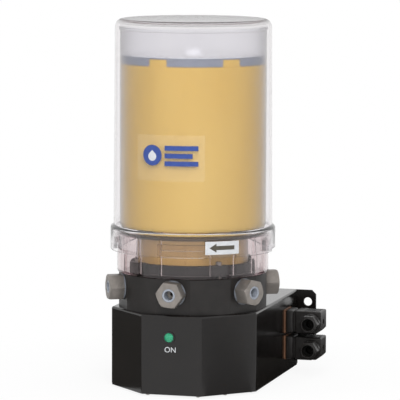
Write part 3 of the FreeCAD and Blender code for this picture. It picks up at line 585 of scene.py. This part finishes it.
def clear_plastic(name, tint, shade, density, roughness=0.02, frost=0.0):
    """Clear moulded plastic with a faint ripple, which darkens where it is seen edge on. The cover's
    flat top may be lightly frosted, and a dark line is painted round the top's rim: a painted reflection of
    the top's thickness."""
    # Dark line painted into the colour round the top's rim: painted reflection, standing in for light
    # turned back inside the top's thickness.
    painted_line_r, painted_line_width, painted_line_depth = 82.1, 1.3, 1.5
    painted_line_colour = (0.07, 0.035, 0.035, 1.0)
    mat, nodes, links, shader = material(name)
    shader.inputs["Transmission Weight"].default_value = 1.0
    shader.inputs["IOR"].default_value = 1.49
    ripple = pattern(nodes, links, 35.0, 1.0)
    relief(nodes, links, ripple.outputs["Fac"], shader, 0.04, 0.4)
    place = nodes.new("ShaderNodeTexCoord")
    parts = nodes.new("ShaderNodeSeparateXYZ")
    links.new(place.outputs["Object"], parts.inputs["Vector"])
    height = parts.outputs["Z"]
    rim = near(nodes, links, line_distance(nodes, links, 0, 0), painted_line_r / 1000, painted_line_width / 1000)
    high = near(nodes, links, height, mm(0, 0, cover_top).z, painted_line_depth / 1000)
    edge = combined(nodes, links, rim, high, "MULTIPLY")
    # Blends the painted dark reflection line into the colour at the top's rim.
    links.new(blend_colours(nodes, links, edge, tint, painted_line_colour), shader.inputs["Base Color"])
    top = nodes.new("ShaderNodeMapRange")
    top.inputs["From Min"].default_value = mm(0, 0, cover_top - 5.0).z
    top.inputs["From Max"].default_value = mm(0, 0, cover_top - 1.0).z
    top.inputs["To Min"].default_value, top.inputs["To Max"].default_value = roughness, roughness + frost
    links.new(height, top.inputs["Value"])
    links.new(top.outputs["Result"], shader.inputs["Roughness"])
    depth = nodes.new("ShaderNodeVolumeAbsorption")
    depth.inputs["Color"].default_value = shade
    depth.inputs["Density"].default_value = density
    links.new(depth.outputs["Volume"], nodes["Material Output"].inputs["Volume"])
    pass_lamps(nodes, links, shader, tint)
    return mat


def milky_film():
    """Frosted cartridge wall: what touches it shows, and what is further off blurs to white."""
    mat, nodes, links, shader = material("milky_film")
    streaks = pattern(nodes, links, 14.0, 3.0, (1, 1, 0.15))
    tone = spread(nodes, links, streaks.outputs["Fac"], 0.0, 1.0)
    links.new(blend_colours(nodes, links, tone, srgb(243, 243, 246), srgb(249, 249, 251)),
              shader.inputs["Base Color"])
    shader.inputs["Transmission Weight"].default_value = 1.0
    shader.inputs["IOR"].default_value = 1.15
    shader.inputs["Roughness"].default_value = 0.3
    shader.inputs["Specular Tint"].default_value = (0.02, 0.02, 0.02, 1.0)
    pass_lamps(nodes, links, shader, (0.85, 0.85, 0.86, 1.0))
    return mat


def grease():
    """Opaque tan grease with slow streaks of colour."""
    mat, nodes, links, shader = material("grease")
    streaks = pattern(nodes, links, 16.0, 4.0, (1, 1, 0.35))
    tone = spread(nodes, links, streaks.outputs["Fac"], 0.0, 1.0)
    links.new(blend_colours(nodes, links, tone, srgb(234, 192, 94), srgb(242, 204, 110)),
              shader.inputs["Base Color"])
    fine = pattern(nodes, links, 220.0, 3.0)
    links.new(spread(nodes, links, fine.outputs["Fac"], 0.32, 0.45), shader.inputs["Roughness"])
    relief(nodes, links, fine.outputs["Fac"], shader, 0.1, 0.2)
    return mat


def lens_plastic():
    mat, nodes, links, shader = material("lens_plastic")
    cells = pattern(nodes, links, 900.0, kind="ShaderNodeTexVoronoi")
    links.new(blend_colours(nodes, links, cells.outputs["Distance"], srgb(60, 196, 148), srgb(18, 122, 86)),
              shader.inputs["Base Color"])
    shader.inputs["Roughness"].default_value = 0.2
    shader.inputs["Coat Weight"].default_value = 0.3
    relief(nodes, links, cells.outputs["Distance"], shader, 0.3, 0.1)
    return mat


def printed_white():
    return finish("printed_white", srgb(172, 174, 177), srgb(182, 184, 187), (0.4, 0.5), scale=200.0,
                  grain=1200.0, strength=0.05, depth=0.02)


def print_ink(name, first, second):
    return finish(name, first, second, (0.4, 0.5), scale=240.0, grain=1500.0, strength=0.05, depth=0.02)


def pale_film():
    """Clear backing of the sticker, a little lighter than what lies behind it."""
    mat, nodes, links, shader = material("pale_film")
    cloud = pattern(nodes, links, 60.0, 2.0)
    tone = spread(nodes, links, cloud.outputs["Fac"], 0.0, 1.0)
    links.new(blend_colours(nodes, links, tone, srgb(246, 240, 228), srgb(250, 246, 236)),
              shader.inputs["Base Color"])
    shader.inputs["Roughness"].default_value = 0.3
    shader.inputs["Alpha"].default_value = 0.025
    pass_lamps(nodes, links, shader, (1, 1, 1, 1))
    return mat


paint = gloss_paint()
coating = cast_coating()
plated = plated_metal()
zinc_plate = zinc()
nylon = bush_nylon()
steel = ground_steel()
bearing_bronze = bronze()
bridge_metal = machined()
board_green = board_mask()
connector_nylon = black_nylon()
moulded_black = smooth_black()
silicone = brown_silicone()
rubber = black_rubber()
follower_grey = follower_plastic()
clear_cover = clear_plastic("clear_cover", (0.985, 0.98, 0.98, 1.0), (0.76, 0.73, 0.75, 1.0), density=80.0,
                            frost=0.25)
clear_ring = clear_plastic("clear_ring", (0.96, 0.93, 0.925, 1.0), (0.7, 0.6, 0.62, 1.0), density=95.0,
                           roughness=0.03)
film = milky_film()
grease_tan = grease()
green_lens = lens_plastic()
label_white = printed_white()
print_black = print_ink("print_black", srgb(58, 54, 46), srgb(68, 64, 56))
print_blue = print_ink("print_blue", srgb(34, 56, 118), srgb(44, 66, 128))
sticker_film = pale_film()

node_finish = {
    "housing_paint": paint,
    "body_black": coating,
    "clamp_black": moulded_black,
    "fitting_metal": plated,
    "screw_metal": zinc_plate,
    "bush_plastic": nylon,
    "inner_steel": steel,
    "bearing_bronze": bearing_bronze,
    "bridge_metal": bridge_metal,
    "motor_metal": bridge_metal,
    "board_green": board_green,
    "bezel_black": moulded_black,
    "lens_green": green_lens,
    "clear_plastic": clear_ring,
    "cartridge_plastic": film,
    "grease": grease_tan,
    "follower_plastic": follower_grey,
    "seal_rubber": rubber,
    "gasket_rubber": silicone,
    "connector_black": connector_nylon,
}


def dress(obj, mat):
    """Gives every material slot of a piece one finish."""
    if not obj.material_slots:
        obj.data.materials.append(mat)
    for slot in obj.material_slots:
        slot.material = mat


def dress_frame():
    for subpart in frame["record"]["subparts"]:
        dress(frame["nodes"][subpart["node"]], node_finish[subpart["material_slot"]])
    # The washers get the darker copy of the bushes' nylon, as painted shade.
    dress(frame["nodes"]["outlet_washers"], washer_nylon_painted_shade())


def mount_piece(obj, mat, body, slot=None, *nodes):
    """Finishes a new piece, hangs it on the body it rides on, and hides the CAD nodes it stands for."""
    dress(obj, mat)
    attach(obj, body)
    if nodes:
        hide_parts(*nodes)
    return obj


# Reservoir

def block(inner, outer, foot, top):
    """Square outline of a ring: two radii and two heights."""
    return [(inner, foot), (outer, foot), (outer, top), (inner, top)]


def heel(radius):
    """Round between the cartridge's neck and its barrel, from the neck outwards."""
    centre_r = barrel_r - heel_round
    return list(reversed(arc(centre_r, barrel_foot, radius, 0, -90, 8)))


def cover():
    """Clear cover: a cup with a rounded top over a wider skirt, with bayonet lugs inside."""
    round_r, round_z = cup_top_r - cup_round, cover_top - cup_round
    skirt_bore_r, ceiling = skirt_r - cover_wall, skirt_top - cover_wall
    outline = [(0, cover_top)]
    outline += reversed(arc(round_r, round_z, cup_round, 0, 90, 8))
    outline += [(cup_foot_r, skirt_top + 1.5)] + arc(skirt_r - 2.0, skirt_top - 2.0, 2.0, 70, 0, 4)
    outline += [(skirt_r, skirt_foot + 0.6), (skirt_r - 0.6, skirt_foot), (skirt_bore_r, skirt_foot)]
    outline += [(skirt_bore_r, ceiling), (cup_foot_r - cover_wall, ceiling + 0.6)]
    outline += arc(round_r, round_z, cup_round - cover_wall, 0, 90, 6) + [(0, cover_top - cover_wall)]
    piece = lathe("clear_cup", outline, 256)
    corners = block(cover_lug_r, skirt_bore_r + lug_bite, cover_lug_foot, cover_lug_foot + lug_height)
    lugs = [sector("cover_lug", corners, middle, lug_angle) for middle in lug_centres]
    combine(piece, joined("cover_lugs", lugs), "UNION")
    corners = block(skirt_bore_r - 0.6, skirt_r + 1.4, skirt_foot - 1.0, skirt_foot + 3.0)
    combine(piece, sector("skirt_notch", corners, notch_azimuth, notch_angle), "DIFFERENCE")
    finish_mesh(piece)
    smooth(piece, 35.0)
    return mount_piece(piece, clear_cover, "cover", "clear_plastic", "reservoir_cover")


def seat_ring():
    """Clear ring the cover locks on: ribbed wall, floor and shelf, with lugs and stops outside."""
    inner_r = ring_r - ring_wall
    outline = [(ring_bore_r, ring_foot), (ring_r - 1.0, ring_foot)]
    outline += arc(ring_r - 1.0, ring_foot + 1.0, 1.0, -60, 0, 3)
    outline += [(ring_r, ring_top - 0.4), (ring_r - 0.4, ring_top), (shelf_bore_r + 0.3, ring_top)]
    outline += [(shelf_bore_r, ring_top - 0.3), (shelf_bore_r, shelf_foot + 0.3)]
    outline += [(shelf_bore_r + 0.3, shelf_foot), (inner_r, shelf_foot), (inner_r, ring_floor)]
    outline += [(ring_bore_r, ring_floor)]
    piece = lathe("clear_seat_ring", outline, 256)
    rib = bar("rib", (-rib_width / 2, -inner_r - 0.5, ring_floor - 0.5),
              (rib_width / 2, rib_depth - inner_r, shelf_foot + 0.5))
    rib_step = 360.0 / rib_count
    ribs = [copied(rib, "rib", about_axis(rib_step * (k + 0.5))) for k in range(rib_count)]
    bpy.data.objects.remove(rib, do_unlink=True)
    combine(piece, joined("ribs", ribs), "UNION")
    corners = block(ring_r - 1.0, ring_lug_r, ring_lug_foot, ring_lug_foot + lug_height)
    lugs = [sector("ring_lug", corners, middle, lug_angle) for middle in lug_centres]
    combine(piece, joined("ring_lugs", lugs), "UNION")
    corners = block(ring_r - 1.0, ring_lug_r, cover_lug_foot, ring_lug_foot + lug_height - 0.1)
    stops = [sector("ring_stop", corners, middle - stop_shift, stop_angle, 6) for middle in lug_centres]
    combine(piece, joined("ring_stops", stops), "UNION")
    finish_mesh(piece)
    smooth(piece, 35.0)
    return mount_piece(piece, clear_ring, "base", "clear_plastic", "seat_ring")


def cartridge():
    """Thin-walled cartridge: a narrow neck, a barrel on a round heel and a wider rim."""
    outline = [(neck_r - film_wall, neck_foot), (neck_r, neck_foot), (neck_r, barrel_foot - heel_round)]
    outline += heel(heel_round)
    outline += [(barrel_r, cartridge_top - 3.6), (cartridge_rim_r, cartridge_top - 2.4)]
    outline += [(cartridge_rim_r, cartridge_top), (barrel_r - film_wall, cartridge_top)]
    outline += reversed(heel(heel_round - film_wall))
    outline += [(neck_r - film_wall, barrel_foot - heel_round + film_wall)]
    piece = lathe("milky_barrel", outline, 256)
    smooth(piece, 35.0)
    return mount_piece(piece, film, "base", "cartridge_plastic", "cartridge_shell")


def grease_pieces():
    """Grease in the barrel, grease in the neck, which stays,
    and the grease that shows through the follower's notches."""
    fill_r = barrel_r - film_wall - grease_gap
    rows = [(fill_r, barrel_foot + 18.0 * k) for k in range(10)]
    fill = lathe("grease_barrel", [(0, barrel_foot)] + rows + [(fill_r, grease_top), (0, grease_top)], 192)
    smooth(fill, 35.0)
    mount_piece(fill, grease_tan, "base", "grease", "grease_fill")
    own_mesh(fill)
    neck_fill_r = neck_r - film_wall - grease_gap
    neck_round = heel_round - film_wall - grease_gap
    outline = [(0, neck_grease_foot), (neck_fill_r, neck_grease_foot)]
    outline += [(neck_fill_r, barrel_foot - neck_round)]
    neck = lathe("grease_neck", outline + heel(neck_round) + [(0, barrel_foot)], 192)
    smooth(neck, 35.0)
    mount_piece(neck, grease_tan, "base", "grease", "grease_in_neck")
    plug = lathe("grease_under_follower", block(0, follower_pocket_r, *follower_pocket), 192)
    smooth(plug, 35.0)
    mount_piece(plug, grease_tan, "follower", "grease")


# Outlets

def outlets():
    """Six hexagon fittings, turned round a bevelled tip and a deep mouth, and their pale bushes."""
    corner_r = fitting_width / 2 + 3.1
    turned = [(duct_r, 0), (stem_r, 0), (stem_r, stem_length), (corner_r, stem_length)]
    turned += [(corner_r, fitting_length - fitting_chamfer), (14.0, fitting_length)]
    turned += [(mouth_r, fitting_length), (mouth_r, mouth_foot), (duct_r, mouth_foot)]
    lip_z = fitting_length - bush_lip
    section = [(bush_bore_r, mouth_foot + 0.1), (bush_r, mouth_foot + 0.1)]
    section += arc(bush_r - bush_lip, lip_z, bush_lip, 0, 90, 3)
    section += arc(bush_bore_r + bush_lip, lip_z, bush_lip, 90, 180, 3)
    bushes = []
    for k, clock in enumerate(fitting_clocks):
        fitting = hexagon(f"hexagon_fitting_{k + 1}", fitting_width, fitting_length, outlet_foot, "front",
                          clock)
        combine(fitting, lathe("turning", turned, 96, outlet_foot, "front"), "INTERSECT")
        bevel(fitting, 0.35, 2)
        smooth(fitting, 35.0)
        placed(fitting, about_axis(outlet_step * k))
        mount_piece(fitting, plated, "base", "fitting_metal", f"outlet_fitting_{k + 1}")
        bush = lathe("bush", section, 64, outlet_foot, "front")
        bushes.append(placed(bush, about_axis(outlet_step * k)))
    lining = joined("mouth_bushes", bushes)
    smooth(lining, 35.0)
    mount_piece(lining, nylon, "base", "bush_plastic", "outlet_bushes")


# Connectors

def rounded_bar(name, low, high, radius):
    """Bar along X with its long edges rounded."""
    piece = bar(name, low, high)
    edit_edges(piece, lambda middle, way: abs(way.x) > 0.9)
    bpy.ops.mesh.bevel(offset=radius / 1000, segments=4, affect="EDGES")
    leave()
    return piece


def connector_plug(side, z):
    """Moulded plug: waisted at its seal, grip ribs on top, a cut corner and the gland's neck."""
    near_y = connector_y - plug_half
    gland_foot = (gland_x, near_y, z)
    piece = bar(f"plug_{side}_housing", (plug_foot + plug_seal, near_y, z - plug_half_height),
                (plug_end, connector_y + plug_half, z + plug_half_height))
    corner = mm(plug_end - 0.6, 0, z)
    edit_edges(piece, lambda middle, way: abs(way.y) > 0.9 and middle.x > corner.x and middle.z < corner.z)
    bpy.ops.mesh.bevel(offset=plug_cut / 1000, segments=1, affect="EDGES")
    leave()
    edit_edges(piece, lambda middle, way: abs(way.x) > 0.9)
    bpy.ops.mesh.bevel(offset=plug_round / 1000, segments=4, affect="EDGES")
    leave()
    edit_faces(piece, lambda centre, normal: normal.x < -0.9)
    bpy.ops.mesh.inset(thickness=plug_waist / 1000)
    bpy.ops.mesh.extrude_region_move(TRANSFORM_OT_translate={"value": (-plug_seal / 1000, 0, 0)})
    leave()
    finish_mesh(piece)
    outline = [(0, -1), (gland_neck_r, -1), (gland_neck_r, gland_neck - 0.6)]
    outline += [(gland_neck_r - 0.6, gland_neck), (0, gland_neck)]
    combine(piece, lathe("neck", outline, 96, gland_foot, "front"), "UNION")
    pitch = grip_length / grip_slots
    grip_end, grip_top = plug_end - 3.0, z + plug_half_height
    slots = [bar("slot", (grip_end - (k + 0.5) * pitch, near_y + 2.0, grip_top - grip_depth),
                 (grip_end - k * pitch, near_y + 25.0, grip_top + 1.8)) for k in range(grip_slots)]
    combine(piece, joined("slots", slots), "DIFFERENCE")
    bore = lathe("gland_bore", block(0, gland_bore_r, -10, gland_neck + 1.0), 96, gland_foot, "front")
    combine(piece, bore, "DIFFERENCE")
    outline = [(0, -1), (screw_bore_r, -1), (screw_bore_r, 29), (3.2, 29), (3.2, 34), (0, 34)]
    combine(piece, lathe("recess", outline, 48, (plug_foot, connector_y, z), "right"), "DIFFERENCE")
    bevel(piece, 0.4, 2)
    smooth(piece, 35.0)
    mount_piece(piece, connector_nylon, "base", "connector_black", f"connector_plug_{side}")


def connector_base(side, z):
    """Base of the plug, between the gasket and the plug's seal."""
    piece = rounded_bar(f"plug_{side}_base", (connector_foot, connector_y - base_half, z - base_half),
                        (plug_foot, connector_y + base_half, z + base_half), plug_round)
    outline = [(0, -1), (wire_bore_r, -1), (wire_bore_r, 4.5), (screw_bore_r, 4.5), (screw_bore_r, 10)]
    outline += [(0, 10)]
    wires = lathe("wire_way", outline, 64, (connector_foot, connector_y, z), "right")
    combine(piece, wires, "DIFFERENCE")
    bevel(piece, 0.4, 2)
    smooth(piece, 35.0)
    mount_piece(piece, connector_nylon, "base", "connector_black", f"connector_base_{side}")


def gland_nut(side, z):
    """Hexagon nut with turned corners and a round lip at its mouth."""
    foot = (gland_x, connector_y - plug_half - gland_neck, z)
    nut = hexagon(f"nut_{side}", nut_width, nut_length, foot)
    turned = [(gland_bore_r, 0), (10.2, 0), (11.2, 0.8), (11.2, 8.9), (9.9, 10.0), (8.6, 10.0)]
    turned += [(8.6, nut_length - 0.6), (8.0, nut_length), (gland_bore_r, nut_length)]
    combine(nut, lathe("turning", turned, 96, foot, "front"), "INTERSECT")
    bevel(nut, 0.25, 2)
    smooth(nut, 35.0)
    mount_piece(nut, connector_nylon, "base", "connector_black", f"gland_nut_{side}")


def connectors():
    for side, z in connector_levels:
        connector_plug(side, z)
        connector_base(side, z)
        gland_nut(side, z)


# Front and labels

def lamp_on_front():
    """Green dome in its round bezel."""
    outline = [(0, 0.4), (lens_r, 0.4), (lens_r, 1.6)] + arc(0, -1.94, 6.25, 34.5, 90, 10)[1:]
    lens = lathe("green_dome", outline, 64, lamp_foot, "front")
    smooth(lens, 35.0)
    mount_piece(lens, green_lens, "base", "lens_green", "lamp_lens")
    outline = [(0, 0.35), (5.2, 0.35)] + arc(5.6, 1.2, 0.4, 180, 90, 3)
    outline += arc(6.2, 1.0, 0.6, 90, 0, 3) + [(6.8, 0), (lens_r, 0), (lens_r, -16), (0, -16)]
    bezel = lathe("round_bezel", outline, 64, lamp_foot, "front")
    smooth(bezel, 35.0)
    mount_piece(bezel, moulded_black, "base", "bezel_black", "lamp_bezel")


def flat_shape(name, corners):
    """Flat plate in front of the pump, on an outline of (x, z)."""
    points = [mm(x, print_y, z) for x, z in corners]
    plate = draw(name, points + points[:1])
    edit(plate)
    bpy.ops.mesh.remove_doubles(threshold=0.000001)
    bpy.ops.mesh.select_all(action="SELECT")
    bpy.ops.mesh.edge_face_add()
    leave()
    return plate


def flat_disc(name, x, z, radius, vertices):
    """Flat round plate in front of the pump."""
    bpy.ops.mesh.primitive_circle_add(vertices=vertices, radius=radius / 1000, fill_type="NGON",
                                      location=mm(x, print_y, z), rotation=(pi / 2, 0, 0))
    disc = named(name)
    settle(disc)
    return disc


def label(name, foot, top, start, width, thickness=0.12):
    """Curved plate on the cover: an upright edge of (radius, height) swept round, then thickened."""
    plate = draw(name, profile([foot, top], (0, 0, 0), "up"))
    edit(plate)
    bpy.ops.mesh.spin(steps=int(width), angle=-radians(width), center=mm(0, 0, 0), axis=(0, 0, 1))
    leave()
    finish_mesh(plate)
    mod = plate.modifiers.new("thickness", "SOLIDIFY")
    mod.thickness, mod.offset = thickness / 1000, 0.0
    pick(plate)
    bpy.ops.object.modifier_apply(modifier=mod.name)
    return placed(plate, about_axis(start))


def printed(mark, plate, height=0.05):
    """Lays a flat mark on a curved plate, straight back from the front."""
    edit(mark)
    bpy.ops.mesh.quads_convert_to_tris()
    bpy.ops.mesh.subdivide(number_cuts=9)
    leave()
    pick(mark)
    mod = mark.modifiers.new("wrap", "SHRINKWRAP")
    mod.target, mod.wrap_method = plate, "PROJECT"
    mod.use_project_y, mod.use_negative_direction, mod.use_positive_direction = True, True, True
    mod.offset = height / 1000
    bpy.ops.object.modifier_apply(modifier=mod.name)
    return mark


def arrow_label():
    """Pale plate on the skirt with an arrow for the cover's turning direction."""
    plate = label("arrow_plate", (skirt_r + 0.15, 159.0), (skirt_r + 0.15, 173.7), -12.35, 24.7)
    arrow = flat_shape("arrow", [(-15.5, 166.4), (-7.4, 171.4), (-7.4, 168.7), (14.2, 168.7), (14.2, 164.1),
                                 (-7.4, 164.1), (-7.4, 161.4)])
    printed(arrow, plate)
    for piece, mat in ((plate, label_white), (arrow, print_black)):
        placed(piece, about_axis(36.55))
        mount_piece(piece, mat, "cover")


def drop(name, x, z, radius):
    """Drop: a disc whose top is drawn up to a point."""
    shape = flat_disc(name, x, z, radius, 40)
    centre = mm(x, print_y, z)
    edit(shape, "DESELECT")
    leave()
    for vertex in shape.data.vertices:
        vertex.select = vertex.co.z - centre.z > 0.72 * radius / 1000
    bpy.ops.object.mode_set(mode="EDIT")
    bpy.ops.mesh.select_mode(type="VERT")
    bpy.ops.mesh.merge(type="CENTER")
    leave()
    heights = [vertex.co.z for vertex in shape.data.vertices]
    rise = centre.z + sqrt(2) * radius / 1000 - max(heights)
    edit(shape, "DESELECT")
    leave()
    shape.data.vertices[heights.index(max(heights))].select = True
    bpy.ops.object.mode_set(mode="EDIT")
    bpy.ops.transform.translate(value=(0, 0, rise))
    leave()
    return shape


def sticker():
    """Pale film on the cover with a plain drop badge and bars beside it."""
    plate = label("sticker_film", (89.95, 240.0), (89.6, 291.0), -27.5, 51.7)
    badge = flat_disc("badge_disc", badge_x, badge_z, badge_r, 64)
    bars = [flat_shape("badge_bar", [(-7.5, z), (end, z), (end, z + 5.4), (-7.5, z + 5.4)])
            for z, end in ((274.2, 30.0), (265.6, 24.0), (257.0, 30.0))]
    marks = joined("badge_marks", [badge] + bars)
    printed(marks, plate)
    bead = drop("badge_drop", badge_x, badge_z - 1.3, 5.0)
    printed(bead, plate, 0.1)
    for piece, mat in ((plate, sticker_film), (marks, print_blue), (bead, label_white)):
        mount_piece(piece, mat, "cover")


def caption():
    """Plain word under the lamp."""
    bpy.ops.object.text_add(location=mm(*caption_place), rotation=(pi / 2, 0, 0))
    words = named("caption")
    words.data.body, words.data.align_x, words.data.size = "ON", "CENTER", caption_height / 1000
    words.data.extrude = 0.00004
    bpy.ops.object.convert(target="MESH")
    words = named("caption")
    settle(words)
    mount_piece(words, label_white, "base")


# Stage, lamps and camera

def background_rays(nodes, links):
    """1 for a ray that shows the background: from the camera, a reflection or through glass."""
    path = nodes.new("ShaderNodeLightPath")
    seen = combined(nodes, links, path.outputs["Is Camera Ray"], path.outputs["Is Glossy Ray"], "MAXIMUM")
    return combined(nodes, links, seen, path.outputs["Is Transmission Ray"], "MAXIMUM")


def stage():
    """Pale floor that keeps the pump's shadow and fades to white away from it."""
    bpy.ops.mesh.primitive_plane_add(size=60.0, location=(0, 0, floor_z))
    floor = named("floor")
    settle(floor)
    mat, nodes, links, shader = material("floor")
    shader.inputs["Base Color"].default_value = (0.9, 0.9, 0.9, 1.0)
    shader.inputs["Roughness"].default_value = 0.8
    shader.inputs["Specular IOR Level"].default_value = 0.1
    white = nodes.new("ShaderNodeEmission")
    white.inputs["Color"].default_value = (1, 1, 1, 1)
    place = nodes.new("ShaderNodeTexCoord")
    distance = nodes.new("ShaderNodeVectorMath")
    distance.operation = "DISTANCE"
    distance.inputs[1].default_value = (0, axis_y, floor_z)
    links.new(place.outputs["Object"], distance.inputs[0])
    fade = nodes.new("ShaderNodeMapRange")
    fade.inputs["From Min"].default_value, fade.inputs["From Max"].default_value = 0.1, 0.4
    fade.inputs["To Min"].default_value, fade.inputs["To Max"].default_value = 0.88, 1.0
    links.new(distance.outputs["Value"], fade.inputs["Value"])
    share = combined(nodes, links, fade.outputs["Result"], background_rays(nodes, links), "MULTIPLY")
    mix = nodes.new("ShaderNodeMixShader")
    links.new(share, mix.inputs["Fac"])
    links.new(shader.outputs["BSDF"], mix.inputs[1])
    links.new(white.outputs["Emission"], mix.inputs[2])
    links.new(mix.outputs["Shader"], nodes["Material Output"].inputs["Surface"])
    dress(floor, mat)


def world():
    """Plain surroundings: white where they are seen, also in gloss and through glass, and a dimmer
    light for the surfaces."""
    sky = bpy.data.worlds.new("studio")
    bpy.context.scene.world = sky
    sky.use_nodes = True
    nodes, links = sky.node_tree.nodes, sky.node_tree.links
    back = nodes["Background"]
    back.inputs["Color"].default_value = (1, 1, 1, 1)
    strength = nodes.new("ShaderNodeMix")
    strength.inputs["A"].default_value, strength.inputs["B"].default_value = 0.4, 1.0
    links.new(background_rays(nodes, links), strength.inputs["Factor"])
    links.new(strength.outputs["Result"], back.inputs["Strength"])


def card(name, outline, shade):
    """Card of a photographer on the floor beside the pump, which shows in the pump's gloss alone."""
    height = 1000 * (floor_z - underside) + 0.5
    piece = draw(name, [mm(x, y, height) for x, y in outline])
    edit(piece)
    bpy.ops.mesh.edge_face_add()
    leave()
    dress(piece, finish(name, shade, shade, (0.9, 0.95), Specular_IOR_Level=0.1))
    piece.visible_camera = piece.visible_diffuse = piece.visible_transmission = piece.visible_shadow = False


def cards():
    """Cards that set the tone of the paint on the housing's slanted and right-hand faces."""
    left = [(-1500, -640), (-60, -120), (-86, -36), (-86, 60), (-1500, 520)]
    right = [(86, -36), (150, -36), (560, 500), (560, 640), (120, 640), (86, 157)]
    front_right = [(42, -84), (84, -42), (1200, -360), (1200, -450)]
    card("grey_card", left, srgb(96, 94, 90))
    card("black_card", right, srgb(30, 28, 24))
    card("pale_card", front_right, srgb(170, 170, 170))


def lamp(name, place, target, size, power):
    bpy.ops.object.light_add(type="AREA", location=place)
    light = bpy.context.active_object
    light.name = name
    light.data.shape, light.data.size, light.data.size_y = "RECTANGLE", size[0], size[1]
    light.data.energy = power
    light.visible_glossy = light.visible_transmission = False
    light.rotation_euler = (Vector(target) - Vector(place)).to_track_quat("-Z", "Y").to_euler()


def lamps():
    middle = mm(0, 0, 200)
    lamp("key_front", mm(700, -2200, 1100), middle, (1.2, 1.4), 54.0)
    lamp("key_top", mm(200, -1100, 1900), middle, (1.2, 1.2), 14.0)
    lamp("fill_left", mm(-1700, -900, 700), middle, (0.9, 1.4), 5.0)
    lamp("fill_back", mm(700, 2200, 900), middle, (1.2, 1.2), 12.0)


def camera():
    """Camera at the photograph's place: azimuth 15.7 degrees, 6.4 degrees down, hardly rolled."""
    data = bpy.data.cameras.new("camera")
    data.lens, data.sensor_width = 270.65, 36.0
    cam = bpy.data.objects.new("camera", data)
    bpy.context.collection.objects.link(cam)
    cam.location = mm(923.9, -3266.2, 588.3)
    turn, down, roll = radians(15.66), radians(6.36), radians(0.19)
    look = Vector((-sin(turn) * cos(down), cos(turn) * cos(down), -sin(down)))
    cam.rotation_euler = (look.to_track_quat("-Z", "Y") @ Quaternion((0, 0, 1), roll)).to_euler()
    bpy.context.scene.camera = cam


dress_frame()
cover()
seat_ring()
cartridge()
grease_pieces()
outlets()
connectors()
lamp_on_front()
arrow_label()
sticker()
caption()
stage()
world()
cards()
lamps()
camera()
bpy.context.scene.view_settings.view_transform = "Standard"
